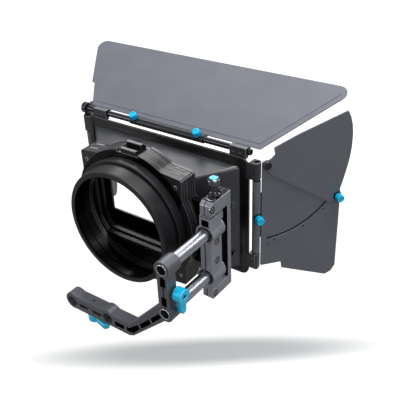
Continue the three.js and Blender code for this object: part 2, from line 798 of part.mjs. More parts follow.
// Stage outline about the optical axis: a disc joined to four ears, with a flat notch on top
function stageOutline(grow = 0) {
  const radius = stageRadius + grow;
  const earX = stageEarHalfWidth + grow;
  const sideTurn = THREE.MathUtils.radToDeg(Math.acos(earX / radius));
  const earTurn = THREE.MathUtils.radToDeg(Math.acos(stageEarStart / radius));
  const notchTurn = THREE.MathUtils.radToDeg(Math.acos(stageNotchHalfWidth / radius));
  const cornerZ = stageEarHalfHeight - stageEarCornerDrop + grow;
  const chamfer = stageEarCornerChamfer;
  const right = [
    ...arc([0, 0], radius, notchTurn, earTurn, arcSteps + 2),
    [earX - chamfer, cornerZ],
    [earX, cornerZ - chamfer],
    ...arc([0, 0], radius, sideTurn, 0, arcSteps + 2),
  ];
  const lower = right.slice(1, -1).reverse().map(([x, z]) => [x, -z]);
  const bottom = [[stageNotchHalfWidth, -radius]];
  const half = [...right, ...lower, ...bottom];
  const left = half.slice().reverse().map(([x, z]) => [-x, z]);
  return [...half, ...left.filter(([x]) => x < 0)];
}

function stageNotch(span) {
  return block([-stageNotchHalfWidth, stageNotchHalfWidth], span,
    [stageNotchHeight, stageRadius + cutOverrun]);
}

// Rectangular aperture with cut corners
function apertureCut(span) {
  const w = apertureHalfWidth;
  const h = apertureHalfHeight;
  const outline = [
    [w, -h + apertureChamferHeight], [w, h - apertureChamferHeight], [w - apertureChamferWidth, h],
    [-w + apertureChamferWidth, h], [-w, h - apertureChamferHeight], [-w, -h + apertureChamferHeight],
    [-w + apertureChamferWidth, -h], [w - apertureChamferWidth, -h],
  ];
  return slab('y', outline, span);
}

// Pocket that is open upwards and to the front, for a filter tray
function trayPocket(front) {
  return block([-trayPocketHalfWidth, trayPocketHalfWidth], [front - trayPocketDepth, front + cutOverrun],
    [-trayPocketBottom, stageRadius + cutOverrun]);
}

function stagePlate(rear) {
  const front = rear + stageDepth;
  const past = [rear - cutOverrun, front + cutOverrun];
  return slab('y', stageOutline(), [rear, front]).subtract(stageNotch(past)).subtract(trayPocket(front));
}

function frontStageY() {
  return rearStageY + stageDepth + stageGap;
}

function rearStage() {
  const past = [rearStageY - cutOverrun, rearStageY + stageDepth + cutOverrun];
  let shape = stagePlate(rearStageY).subtract(round('y', stageBoreRadius, past, [0, 0], ringSides));
  for (const sideX of [-1, 1]) {
    for (const sideZ of [-1, 1]) {
      shape = shape.subtract(round('y', stageScrewRadius + seatGap,
        [rearStageY - cutOverrun, rearStageY + stageScrewDepth + seatGap],
        [sideX * stageScrewX, sideZ * stageScrewZ], smallSides));
    }
  }
  return piece('rear_stage', shape, blackSatin);
}

function frontStage() {
  const rear = frontStageY();
  const shape = stagePlate(rear).subtract(apertureCut([rear - cutOverrun, rear + stageDepth + cutOverrun]));
  return piece('front_stage', shape, blackSatin);
}

function stageScrew(name, sideX, sideZ) {
  const length = stageScrewDepth;
  let shape = round('y', stageScrewRadius, [0, length], [0, 0], smallSides);
  shape = shape.subtract(round('y', capSocketRadius, [-cutOverrun, capSocketDepth], [0, 0], 6));
  return piece(name, shape, darkSteel, [sideX * stageScrewX, rearStageY, sideZ * stageScrewZ]);
}

// Filter tray that lifts out of a stage's pocket, with a groove for the glass
function filterTray(name, stageRear) {
  const front = stageRear + stageDepth;
  const span = [front - trayPocketDepth + seatGap, front - seatGap];
  const halfWidth = trayPocketHalfWidth - seatGap;
  const past = [span[0] - cutOverrun, span[1] + cutOverrun];
  let shape = slab('y', stageOutline(), span).subtract(stageNotch(past));
  shape = shape.intersect(block([-halfWidth, halfWidth], past,
    [seatGap - trayPocketBottom, stageRadius + cutOverrun]));
  shape = shape.subtract(block([-trayFrameHalfWidth, trayFrameHalfWidth], past,
    [-trayFrameHalfHeight, trayFrameHalfHeight]));
  const grooveHalfHeight = trayFrameHalfHeight + trayGrooveHalfWidth - trayFrameHalfWidth;
  shape = shape.subtract(block([-trayGrooveHalfWidth, trayGrooveHalfWidth],
    [span[0] - cutOverrun, span[0] + trayGrooveDepth], [-grooveHalfHeight, grooveHalfHeight]));
  return piece(name, shape, blackSatin);
}

// Pull clip on the tray's top edge, reaching back over the stage's notch
function trayClip(name, stageRear, height) {
  const front = stageRear + stageDepth;
  const foot = stageNotchHeight + seatGap;
  const rear = front - trayPocketDepth - trayClipReach;
  const outline = [
    [rear, foot], [front - seatGap, foot], [front - seatGap, foot + height / 2],
    [front - trayPocketDepth, foot + height], [rear, foot + height],
  ];
  return piece(name, slab('x', outline, [-trayClipHalfWidth, trayClipHalfWidth]), blackGloss);
}

// Rear ring that the lens reaches into
function rearRing() {
  const front = rearStageY - seatGap;
  const grooveEnd = ringGrooveY + ringGrooveWidth;
  const profile = [
    [ringLipRadius, ringRear], [ringRearRadius - ringEdge, ringRear], [ringRearRadius, ringRear + ringEdge],
    [ringFrontRadius, ringGrooveY], [ringGrooveRadius, ringGrooveY], [ringGrooveRadius, grooveEnd],
    [flangeRadius - flangeEdge, grooveEnd], [flangeRadius, grooveEnd + flangeEdge],
    [flangeRadius, front - flangeEdge], [flangeRadius - flangeEdge, front], [ringSeatRadius, front],
    [ringSeatRadius, front - ringSeatDepth], [ringBoreRadius, front - ringSeatDepth],
    [ringBoreRadius, ringRear + ringLipDepth], [ringLipRadius, ringRear + ringLipDepth],
  ];
  return piece('rear_ring', turned('y', profile, [0, 0], ringSides), blackGloss);
}

// Straight flare between two rounded rectangles
function flare(rearHalf, frontHalf, corner, span) {
  const outline = roundedRectangle(rearHalf[0], rearHalf[1], corner);
  const shape = new THREE.Shape(outline.map(([x, z]) => new THREE.Vector2(x, z)));
  const geometry = new THREE.ExtrudeGeometry(shape, { depth: span[1] - span[0], bevelEnabled: false });
  geometry.applyMatrix4(drawFrames.y);
  geometry.translate(0, span[1], 0);
  const position = geometry.attributes.position;
  const middle = (span[0] + span[1]) / 2;
  for (let i = 0; i < position.count; i += 1) {
    if (position.getY(i) > middle) {
      position.setX(i, position.getX(i) * frontHalf[0] / rearHalf[0]);
      position.setZ(i, position.getZ(i) * frontHalf[1] / rearHalf[1]);
    }
  }
  return solid(geometry);
}

// Half sizes of the hood's outside at a place along Y
function hoodHalfSizes(y) {
  const share = (y - hoodFlareRear) / (frameRear - hoodFlareRear);
  return [
    hoodRearHalfWidth + (hoodFrontHalfWidth - hoodRearHalfWidth) * share,
    hoodRearHalfHeight + (hoodFrontHalfHeight - hoodRearHalfHeight) * share,
  ];
}

function hoodShell() {
  const rear = frontStageY() + stageDepth + stageGap;
  const plateFront = rear + hoodPlateDepth;
  const front = frameRear - seatGap;
  let shape = slab('y', stageOutline(), [rear, plateFront]);
  shape = shape.subtract(stageNotch([rear - cutOverrun, plateFront + cutOverrun]));
  shape = shape.add(flare(hoodHalfSizes(hoodFlareRear), hoodHalfSizes(front), hoodCorner,
    [hoodFlareRear, front]));
  for (const side of [-1, 1]) {
    for (const z of [hoodBossUpperRise, -hoodBossLowerDrop]) {
      const y = front - hoodBossRadius;
      const reach = hoodHalfSizes(y)[0] + hoodBossRise;
      const span = [side * (reach - hoodBossRadius * 2), side * reach].sort((a, b) => a - b);
      shape = shape.add(round('x', hoodBossRadius, span, [y, z]));
    }
  }
  const inside = (y) => hoodHalfSizes(y).map((half) => half - hoodWall);
  shape = shape.subtract(flare(inside(plateFront), inside(front + cutOverrun), hoodCorner,
    [plateFront, front + cutOverrun]));
  shape = shape.subtract(apertureCut([rear - cutOverrun, plateFront + cutOverrun]));
  return piece('hood_shell', shape, blackSatin);
}

function hoodFrame() {
  const front = frameRear + frameDepth;
  const past = [frameRear - cutOverrun, front + cutOverrun];
  const plateRear = frameRear + frameRidgeHeight;
  const middle = (frameTop - frameDrop) / 2;
  const outline = (inset, corner) => roundedRectangle(frameHalfWidth - inset, (frameTop + frameDrop) / 2 - inset,
    corner).map(([x, z]) => [x, z + middle]);
  const ridgeInner = frameRidgeInset + frameRidgeWidth;
  const ridge = slab('y', outline(frameRidgeInset, frameCorner - frameRidgeInset), [frameRear, front])
    .subtract(slab('y', outline(ridgeInner, frameRidgeInset), past));
  const seat = slab('y', roundedRectangle(hoodFrontHalfWidth + frameSeatEdge,
    hoodFrontHalfHeight + frameSeatEdge, hoodCorner), [frameRear, front]);
  let shape = slab('y', outline(0, frameCorner), [plateRear, front]).add(ridge).add(seat);
  shape = shape.subtract(block([-mouthHalfWidth, mouthHalfWidth], past, [-mouthHalfHeight, mouthHalfHeight]));
  return piece('hood_frame', shape, blackSatin);
}

// Block that ties the front stage to the swing bracket
function stageMount() {
  const front = frontStageY() + stageDepth;
  const rear = front - mountDepth;
  const outer = swingCentreX - swingHalfWidth - seatGap;
  const bottom = mountBottom - opticalHeight;
  const top = mountTop - opticalHeight;
  const shape = block([stageEarHalfWidth, outer], [rear, front], [bottom, top])
    .subtract(slab('y', stageOutline(seatGap), [rear - cutOverrun, front + cutOverrun]));
  return piece('stage_mount', shape, blackSatin);
}

// Optical assembly, about the optical axis
function opticalAssembly() {
  const assembly = group(
    rearRing(), rearStage(), frontStage(), hoodShell(), hoodFrame(), stageMount(),
    stageScrew('stage_screw_upper_right', 1, 1), stageScrew('stage_screw_upper_left', -1, 1),
    stageScrew('stage_screw_lower_right', 1, -1), stageScrew('stage_screw_lower_left', -1, -1),
    group(
      filterTray('filter_tray_rear', rearStageY),
      trayClip('tray_clip_rear', rearStageY, rearClipHeight),
    ),
    group(
      filterTray('filter_tray_front', frontStageY()),
      trayClip('tray_clip_front', frontStageY(), frontClipHeight),
    ),
  );
  assembly.position.z = opticalHeight;
  return assembly;
}

// Bracket that holds the top flag's rod in front of the frame
function topBracket(name, side) {
  const rear = frameRear + frameDepth + seatGap;
  const span = [side * topBracketInner, side * topBracketOuter].sort((a, b) => a - b);
  const noseTop = topRodZ + topBracketNose;
  const outline = [
    [rear, topBracketBottom], [topRodY, topBracketBottom],
    ...arc([topRodY, topRodZ], topBracketNose, -90, 90, arcSteps * 2), [rear, noseTop],
  ];
  let shape = slab('x', outline, span);
  shape = shape.subtract(round('x', flagRodRadius + seatGap, [span[0] - cutOverrun, span[1] + cutOverrun],
    [topRodY, topRodZ]));
  for (const x of [topBracketInner + setHoleInset, topBracketInner + setHoleInset + setHolePitch]) {
    shape = shape.subtract(round('y', setHoleRadius, [rear - cutOverrun, rear + setHoleDepth],
      [side * x, topRodZ], smallSides));
  }
  return piece(name, shape, greyAnodised);
}

// Bracket that holds a side flag's rod beside the frame
function sideBracket(name, side, bottom, height) {
  const inner = frameHalfWidth + seatGap;
  const rear = frameRear;
  const nose = sideBracketNose;
  const front = sideRodFlagY + nose;
  const lipFront = rear + frameRidgeHeight - seatGap;
  const outline = [
    [inner - sideBracketLip, rear], [sideRodFlagX + sideBracketChamferX, rear],
    [sideRodFlagX + nose, sideRodFlagY - sideBracketChamferY],
    ...arc([sideRodFlagX, sideRodFlagY], nose, 0, 90, arcSteps), [inner, front],
    [inner, lipFront], [inner - sideBracketLip, lipFront],
  ].map(([x, y]) => [side * x, y]);
  let shape = slab('z', outline, [bottom, bottom + height]);
  shape = shape.subtract(round('z', flagRodRadius + seatGap, [bottom - cutOverrun, bottom + height + cutOverrun],
    [side * sideRodFlagX, sideRodFlagY]));
  const middle = bottom + height / 2;
  for (const z of [middle - setHolePitch / 2, middle + setHolePitch / 2]) {
    shape = shape.subtract(round('y', setHoleRadius, [rear - cutOverrun, rear + setHoleDepth],
      [side * sideRodFlagX, z], smallSides));
  }
  return piece(name, shape, greyAnodised);
}

function tube(axis, span, at) {
  const bore = [span[0] - cutOverrun, span[1] + cutOverrun];
  return round(axis, flagRodRadius, span, at, smallSides)
    .subtract(round(axis, flagRodRadius - flagRodWall, bore, at, smallSides));
}

// Rods and brackets that carry the flags
function flagRods() {
  const topSpan = [-topRodLeft, topRodRight];
  const sideSpan = [sideRodFlagBottom, sideRodFlagTop];
  const knobSpan = [-topRodLeft - seatGap - topKnobLength, -topRodLeft - seatGap];
  const upperBottom = sideBracketTop - sideBracketUpperHeight;
  return group(
    piece('top_flag_rod', tube('x', topSpan, [topRodY, topRodZ]), darkSteel),
    piece('top_rod_knob', round('x', topKnobRadius, knobSpan, [topRodY, topRodZ]), blackGloss),
    piece('right_flag_rod', tube('z', sideSpan, [sideRodFlagX, sideRodFlagY]), darkSteel),
    piece('left_flag_rod', tube('z', sideSpan, [-sideRodFlagX, sideRodFlagY]), darkSteel),
    topBracket('top_bracket_right', 1),
    topBracket('top_bracket_left', -1),
    sideBracket('side_bracket_upper_right', 1, upperBottom, sideBracketUpperHeight),
    sideBracket('side_bracket_lower_right', 1, sideBracketBottom, sideBracketLowerHeight),
    sideBracket('side_bracket_upper_left', -1, upperBottom, sideBracketUpperHeight),
    sideBracket('side_bracket_lower_left', -1, sideBracketBottom, sideBracketLowerHeight),
  );
}

// Thumbscrew along Z: collar and fluted head above 0, stem below it
function thumbScrewShape(collarLength, stemLength) {
  const headTop = collarLength + thumbHeadLength;
  let shape = round('z', thumbHeadRadius, [collarLength, headTop]);
  for (let i = 0; i < thumbScallopCount; i += 1) {
    const turn = i * Math.PI * 2 / thumbScallopCount;
    shape = shape.subtract(round('z', thumbScallopRadius, [collarLength - cutOverrun, headTop + cutOverrun],
      [thumbHeadRadius * Math.cos(turn), thumbHeadRadius * Math.sin(turn)], thumbScallopSides));
  }
  shape = shape.add(round('z', thumbCollarRadius, [0, collarLength + cutOverrun], [0, 0], smallSides));
  return shape.add(round('z', thumbStemRadius, [-stemLength, cutOverrun], [0, 0], smallSides));
}

// Stem long enough to reach through a barrel's wall to its rod
function hingeStemLength() {
  return hingeBarrelRadius - flagRodRadius;
}

// Outline of the top flag, drawn in from its edge by an inset, with extra points on its left edge
function topFlagOutline(inset, leftEdge) {
  const edge = Math.hypot(1, topFlagSlope()) * inset;
  const root = topFlagStart + inset;
  const corner = topFlagCorner - inset;
  const centreY = topFlagReach - topFlagCorner;
  const centreX = topFlagHalfWidth(centreY) - edge - Math.hypot(1, topFlagSlope()) * corner;
  const lean = THREE.MathUtils.radToDeg(Math.atan(topFlagSlope()));
  const right = [
    [topFlagHalfWidth(root) - edge, root],
    ...arc([centreX, centreY], corner, -lean, 90, arcSteps + 2),
  ];
  const left = right.slice().reverse().map(([x, y]) => [-x, y]);
  return [...right, ...left.slice(0, -1), ...leftEdge, left[left.length - 1]];
}

function topFlagSlope() {
  return (topFlagTipHalfWidth - topFlagRootHalfWidth) / (topFlagReach - topFlagStart);
}

function topFlagHalfWidth(y) {
  return topFlagRootHalfWidth + (y - topFlagStart) * topFlagSlope();
}

function topFlagPanel() {
  const half = topFlagThickness / 2;
  const stepX = -topFlagHalfWidth(topFlagStepY);
  const leftEdge = [[stepX - topFlagStepOut, topFlagStepY], [stepX, topFlagStepY]];
  const shape = slab('z', topFlagOutline(0, leftEdge), [-half, half])
    .add(slab('z', topFlagOutline(topFlagFieldInset, []), [0, half + topFlagFieldRise]));
  return piece('top_flag_panel', shape, flagPaint);
}

// Barrel round the top rod that runs out to the flag's edge, with a tongue under the flag
function topFlagBarrel() {
  const span = [-topBarrelHalfLength, topBarrelHalfLength];
  const past = [span[0] - cutOverrun, span[1] + cutOverrun];
  const half = topFlagThickness / 2;
  const edge = topFlagStart - seatGap;
  const tongueTop = -half - seatGap;
  let shape = round('x', hingeBarrelRadius, span);
  shape = shape.add(slab('x', [
    [0, -hingeBarrelRadius], [edge, tongueTop], [edge, half], [0, hingeBarrelRadius],
  ], span));
  shape = shape.add(block(span, [0, topFlagStart + tongueDepth], [tongueTop - tongueThick, tongueTop]));
  shape = shape.subtract(round('x', flagRodRadius + seatGap, past));
  for (const side of [-1, 1]) {
    shape = shape.subtract(round('z', thumbStemRadius + seatGap, [0, hingeBarrelRadius + cutOverrun],
      [side * topThumbX, 0], smallSides));
  }
  return piece('top_flag_barrel', shape, flagPaint);
}

function topFlag() {
  const thumb = thumbScrewShape(topThumbCollar, hingeStemLength());
  const seat = hingeBarrelRadius + seatGap;
  const assembly = group(
    topFlagPanel(),
    topFlagBarrel(),
    piece('top_thumbscrew_right', thumb, blueAnodised, [topThumbX, 0, seat]),
    piece('top_thumbscrew_left', thumb, blueAnodised, [-topThumbX, 0, seat]),
  );
  assembly.position.set(0, topRodY, topRodZ);
  assembly.rotation.x = radians(topFlagTilt);
  return assembly;
}

// Layer of a side flag between two distances off the rod's axis, on the flag's outer side
function flagLayer(side, near, far) {
  return [-side * near, -side * far].sort((a, b) => a - b);
}

// Point of a side flag from its shares of flagLength
function flagPoint([shareX, shareZ]) {
  return [flagShift + wingPivotX + shareX * flagLength, wingPivotZ + shareZ * flagLength];
}

// Arc groove in the panel that guides the wing, with a short straight tail
function guideGroove(layer) {
  const centre = [flagShift + wingPivotX, wingPivotZ];
  const steps = arcSteps * 3;
  const outline = [
    ...arc(centre, guideRadius + guideHalfWidth, guideStartTurn, guideEndTurn, steps),
    ...arc(centre, guideRadius - guideHalfWidth, guideEndTurn, guideStartTurn, steps),
  ];
  const turn = radians(guideStartTurn);
  const x = centre[0] + guideRadius * Math.cos(turn);
  const z = centre[1] + guideRadius * Math.sin(turn);
  const tail = block([x, x + guideHalfWidth * 2], layer, [z - guideTail, z + guideHalfWidth / 2]);
  return slab('y', outline, layer).add(tail);
}

function flagPanel(name, side) {
  const near = flagOffset - panelThickness / 2;
  const far = flagOffset + panelThickness / 2;
  let shape = slab('y', panelOutlineShares.map(flagPoint), flagLayer(side, near, far));
  shape = shape.subtract(guideGroove(flagLayer(side, far - guideDepth, far + cutOverrun)));
  shape = shape.subtract(round('y', wingPivotRadius + seatGap,
    flagLayer(side, near - cutOverrun, far + cutOverrun), [flagShift + wingPivotX, wingPivotZ], smallSides));
  return piece(name, shape, flagPaint);
}

// Barrel round a side rod, with a tongue on the panel's inner side
function flagBarrel(name, side) {
  const span = [sideBarrelBottom, sideBarrelTop];
  const near = flagOffset - panelThickness / 2 - seatGap;
  const tongueX = [0, hingeBarrelRadius + tongueDepth];
  let shape = round('z', hingeBarrelRadius, span);
  shape = shape.add(block(tongueX, flagLayer(side, near - tongueThick, near), [sideTongueBottom, sideTongueTop]));
  shape = shape.subtract(round('z', flagRodRadius + seatGap, [span[0] - cutOverrun, span[1] + cutOverrun]));
  shape = shape.subtract(round('y', thumbStemRadius + seatGap,
    flagLayer(side, 0, hingeBarrelRadius + cutOverrun), [0, sideThumbZ], smallSides));
  return piece(name, shape, greyAnodised);
}

function wingFace() {
  return flagOffset + panelThickness / 2 + seatGap;
}

// Wing that folds down over the panel about its pivot, with a guide pin in the panel's groove
function flagWing(name, side) {
  const near = wingFace();
  const far = near + wingThickness;
  const turn = radians(guidePinTurn);
  const pinAt = [
    flagShift + wingPivotX + guideRadius * Math.cos(turn), wingPivotZ + guideRadius * Math.sin(turn),
  ];
  const pinReach = seatGap + guidePinDepth;
  let shape = slab('y', wingOutlineShares.map(flagPoint), flagLayer(side, near, far));
  shape = shape.add(round('y', guidePinRadius, flagLayer(side, near - pinReach, near + wingThickness / 2),
    pinAt, smallSides));
  const holes = [
    [wingPivotRadius, wingPivotX, wingPivotZ],
    [thumbStemRadius, wingLockX, wingLockZ],
  ];
  for (const [radius, x, z] of holes) {
    shape = shape.subtract(round('y', radius + seatGap, flagLayer(side, near - cutOverrun, far + cutOverrun),
      [flagShift + x, z], smallSides));
  }
  return piece(name, shape, flagPaint);
}

function wingPivot(name, side) {
  const near = flagOffset - panelThickness / 2;
  const face = wingFace() + wingThickness + seatGap;
  const centre = [flagShift + wingPivotX, wingPivotZ];
  let shape = round('y', wingHeadRadius, flagLayer(side, face, face + wingHeadHeight), centre);
  shape = shape.add(round('y', wingPivotRadius, flagLayer(side, near, face + wingHeadHeight / 2),
    centre, smallSides));
  return piece(name, shape, darkSteel);
}

// Thumbscrew that stands off a side flag's outer side
function flagThumbScrew(name, side, shape, x, face, z) {
  const mesh = piece(name, shape, blueAnodised, [x, -side * face, z]);
  mesh.rotation.x = side * Math.PI / 2;
  return mesh;
}

// Wing with its pivot and thumbscrew, folded down about the pivot by an angle
function foldedWing(word, side, fold) {
  const lockFace = wingFace() + wingThickness + seatGap;
  const lockScrew = thumbScrewShape(wingThumbCollar, wingThickness);
  const wing = group(
    flagWing(`${word}_flag_wing`, side),
    wingPivot(`${word}_wing_pivot`, side),
    flagThumbScrew(`${word}_wing_thumbscrew`, side, lockScrew, flagShift + wingLockX, lockFace, wingLockZ),
  );
  const pivot = [flagShift + wingPivotX, 0, wingPivotZ];
  wing.position.set(-pivot[0], 0, -pivot[2]);
  const hinge = group(wing);
  hinge.position.set(...pivot);
  hinge.rotation.y = radians(fold);
  return hinge;
}

function sideFlag(word, side, turn, fold) {
  const hingeScrew = thumbScrewShape(hingeThumbCollar, hingeStemLength());
  const assembly = group(
    flagPanel(`${word}_flag_panel`, side),
    flagBarrel(`${word}_flag_barrel`, side),
    flagThumbScrew(`${word}_hinge_thumbscrew`, side, hingeScrew, 0, hingeBarrelRadius + seatGap, sideThumbZ),
    foldedWing(word, side, fold),
  );
  assembly.position.set(side * sideRodFlagX, sideRodFlagY, 0);
  assembly.rotation.z = side > 0 ? radians(turn) : Math.PI - radians(turn);
  return assembly;
}

const matteBox = group(
  group(supportArm(), clampLever(), armLever(), leverWasher()),
  group(
    sideRod('side_rod_upper', sideRodLowZ + rodPitch), sideRod('side_rod_lower', sideRodLowZ),
    rodBush('rod_bush_upper', sideRodLowZ + rodPitch), rodBush('rod_bush_lower', sideRodLowZ),
    swingBlock(), blockScrew('block_screw_upper', blockScrewUpperZ),
    blockScrew('block_screw_lower', blockScrewLowerZ), upperPivotScrew(), lowerPivotScrew(),
  ),
  group(swingBracket(), swingLock(), opticalAssembly(), flagRods()),
  topFlag(),
  sideFlag('right', 1, rightFlagTurn, 0),
  sideFlag('left', -1, leftFlagTurn, leftWingFold),
);

export default matteBox;
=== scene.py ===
"""Swing-away matte box, dressed around its fixed frame.

Sizes are in millimetres, scaled to metres.
"""
import json
import logging
import math
from collections.abc import Callable
from dataclasses import dataclass, field, replace
from enum import Enum

import bmesh
import bpy
from mathutils import Matrix, Vector

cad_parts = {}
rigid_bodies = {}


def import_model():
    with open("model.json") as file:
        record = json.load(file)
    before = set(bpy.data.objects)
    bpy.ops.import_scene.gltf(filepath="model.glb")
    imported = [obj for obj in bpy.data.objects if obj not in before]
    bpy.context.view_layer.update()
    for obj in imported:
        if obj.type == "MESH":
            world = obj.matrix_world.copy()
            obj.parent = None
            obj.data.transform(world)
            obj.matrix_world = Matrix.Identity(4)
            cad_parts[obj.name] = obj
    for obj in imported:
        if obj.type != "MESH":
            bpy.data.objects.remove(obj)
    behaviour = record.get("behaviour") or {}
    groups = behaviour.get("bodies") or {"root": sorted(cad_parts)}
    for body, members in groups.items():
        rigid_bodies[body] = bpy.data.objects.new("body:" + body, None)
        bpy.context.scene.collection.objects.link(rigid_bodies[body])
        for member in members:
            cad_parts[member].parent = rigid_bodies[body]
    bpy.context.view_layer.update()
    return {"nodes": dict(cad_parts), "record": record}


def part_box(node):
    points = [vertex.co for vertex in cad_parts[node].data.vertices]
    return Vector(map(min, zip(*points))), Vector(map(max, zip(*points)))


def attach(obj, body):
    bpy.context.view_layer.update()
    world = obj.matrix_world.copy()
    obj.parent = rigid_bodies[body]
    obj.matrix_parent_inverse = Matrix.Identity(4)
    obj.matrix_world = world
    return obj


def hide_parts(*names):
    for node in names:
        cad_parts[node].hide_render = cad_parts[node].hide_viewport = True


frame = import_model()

MM = 0.001
LOG = logging.getLogger("matte_box")
SLOT_OF = {part["node"]: part["material_slot"] for part in frame["record"]["subparts"]}
Mesh = bmesh.types.BMesh
Tree = bpy.types.NodeTree
Socket = bpy.types.NodeSocket
Pair = tuple[float, float]
Triple = tuple[float, float, float]
FaceTest = Callable[[Vector, Vector, list[Vector]], bool]

AXIS_HEIGHT = 85.0
OUTER_FACE = 131.5
SMALL_EDGE = 0.5
PANEL_EDGE = 0.35

BEVEL_SHARES = (1.0, 0.75, 0.55, 0.4, 0.28, 0.15)
FOLD_SLACK = 0.35
CRISP_ANGLE = 25.0
SHARP_ANGLE = 48.0
GENTLE_TURN = 35.0
FLAT_ANGLE = 0.6
TURNED_MERGE = 1e-3
CAD_MERGE = 2e-3
CUT_MERGE = 1e-6
ROOM_PROBES = (0.06, 0.5, 0.94)
SHARED_ROOM = 2.1
PLAIN_ROOM = 1.02
TOUCHING = 1e-8
INWARD_SHARE = 0.25
ORDER_LINE = (1.0, 0.618, 0.2721)
FACING = 0.9

GRAIN_DETAIL = 3.0
MOTTLE_SCALE = 28.0
MOTTLE_DETAIL = 4.0
MOTTLE_ROUGHNESS = 0.6
MOTTLE_CONTRAST = 2.2
PIT_SPACING = 0.6
PIT_SIZE = 0.16
PIT_DEPTH = 0.3
# Noise that breaks up the lighter edge colour, which is partly rubbing and partly a painted
# highlight.
WEAR_HIGHLIGHT_SCALE = 90.0
WEAR_HIGHLIGHT_SPREAD = 0.9
WEAR_HIGHLIGHT_LEAST = 0.35
TURNING_DETAIL = 2.0
TURNED_GRAIN = 0.4
LEAST_ROUGHNESS = 0.02


class Side(Enum):
    """Side of the hood that a flag hangs on, as the sign of X."""

    RIGHT = 1
    LEFT = -1


class Slot(Enum):
    """Material slots of the record."""

    ARM = "arm_black"
    BLUE = "anodised_blue"
    CHROME = "chrome_rod"
    STEEL = "dark_steel"
    GREY = "grey_anodised"
    RING = "ring_black"
    STAGE = "stage_black"
    PLASTIC = "black_plastic"
    HOOD = "hood_black"
    FLAG = "flag_grey"


def set_inputs(tree: Tree, node: bpy.types.Node, values: dict) -> None:
    """Link or set a node's inputs.

    Args:
        tree: Tree that holds the node.
        node: Node whose inputs are set.
        values: Socket or value of each input, by its title or number.
    """
    for title, value in values.items():
        if isinstance(value, Socket):
            tree.links.new(value, node.inputs[title])
        else:
            node.inputs[title].default_value = value


def add_node(tree: Tree, kind: str, inputs: dict | None = None,
             **settings: object) -> bpy.types.Node:
    """Add a shader node.

    Args:
        tree: Tree that gets the node.
        kind: Type of the node, without the word that all shader nodes begin with.
        inputs: Socket or value of each input, by its title or number.
        settings: The node's own settings.

    Returns:
        The node.
    """
    node = tree.nodes.new(f"ShaderNode{kind}")
    for title, value in settings.items():
        setattr(node, title, value)
    set_inputs(tree, node, inputs or {})
    return node


def add_math(tree: Tree, operation: str, first: Socket | float, second: Socket | float,
             clamp: bool = False) -> Socket:
    """Add a Math node, whose result can be held between 0 and 1."""
    node = add_node(tree, "Math", {0: first, 1: second}, operation=operation, use_clamp=clamp)
    return node.outputs[0]


def mix_colours(tree: Tree, factor: Socket, low: Socket | tuple, high: Socket | tuple) -> Socket:
    """Mix two colours, each a socket or four numbers, by the share of the second."""
    node = add_node(tree, "Mix", {"Factor": factor, 6: low, 7: high}, data_type="RGBA")
    return node.outputs[2]


def new_group(name: str, inputs: dict[str, float], *outputs: str) \
        -> tuple[Tree, bpy.types.Node, bpy.types.Node]:
    """Start a shader node group.

    Args:
        name: Name of the group.
        inputs: Value inputs with their defaults.
        outputs: Names of the value outputs.

    Returns:
        The group, its input node and its output node.
    """
    group = bpy.data.node_groups.new(name, "ShaderNodeTree")
    for title, value in inputs.items():
        socket = group.interface.new_socket(name=title, in_out="INPUT",
                                            socket_type="NodeSocketFloat")
        socket.default_value = value
    for title in outputs:
        group.interface.new_socket(name=title, in_out="OUTPUT", socket_type="NodeSocketFloat")
    return group, group.nodes.new("NodeGroupInput"), group.nodes.new("NodeGroupOutput")


def grain_group() -> Tree:
    """Fine grain of a blasted or moulded surface, with slow mottling and sparse pits.

    Returns:
        A group with the outputs Height and Mottle.
    """
    group, start, end = new_group("blasted_grain", {"Scale": 2000.0, "Mottle Scale": 30.0},
                                  "Height", "Mottle")
    place = add_node(group, "TexCoord").outputs["Object"]
    scale = start.outputs["Scale"]
    fine = add_node(group, "TexNoise", {"Vector": place, "Scale": scale, "Detail": GRAIN_DETAIL})
    slow = add_node(group, "TexNoise", {
        "Vector": place, "Scale": start.outputs["Mottle Scale"], "Detail": MOTTLE_DETAIL,
        "Roughness": MOTTLE_ROUGHNESS})
    cells = add_node(group, "TexVoronoi", {
        "Vector": place, "Scale": add_math(group, "MULTIPLY", scale, PIT_SPACING)})
    pits = add_math(group, "LESS_THAN", cells.outputs["Distance"], PIT_SIZE)
    sunk = add_math(group, "MULTIPLY", pits, PIT_DEPTH)
    height = add_math(group, "SUBTRACT", fine.outputs["Fac"], sunk)
    centred = add_math(group, "SUBTRACT", slow.outputs["Fac"], 0.5)
    stretched = add_math(group, "MULTIPLY", centred, MOTTLE_CONTRAST)
    mottle = add_math(group, "ADD", stretched, 0.5, clamp=True)
    set_inputs(group, end, {"Height": height, "Mottle": mottle})
    return group


def wear_and_highlight_group() -> Tree:
    """Lighter colour along the edges that the pieces mark, broken up by noise: partly rubbed edges,
    partly a painted highlight.

    Returns:
        A group with the output Mask.
    """
    group, start, end = new_group("edge_polish", {"Amount": 0.5}, "Mask")
    marked = add_node(group, "Attribute", attribute_name="edge")
    place = add_node(group, "TexCoord").outputs["Object"]
    noise = add_node(group, "TexNoise", {
        "Vector": place, "Scale": WEAR_HIGHLIGHT_SCALE, "Detail": GRAIN_DETAIL})
    patches = add_math(group, "MULTIPLY", noise.outputs["Fac"], WEAR_HIGHLIGHT_SPREAD)
    broken = add_math(group, "ADD", patches, WEAR_HIGHLIGHT_LEAST, clamp=True)
    worn_and_lit = add_math(group, "MULTIPLY", marked.outputs["Fac"], broken)
    mask = add_math(group, "MULTIPLY", worn_and_lit, start.outputs["Amount"], clamp=True)
    set_inputs(group, end, {"Mask": mask})
    return group


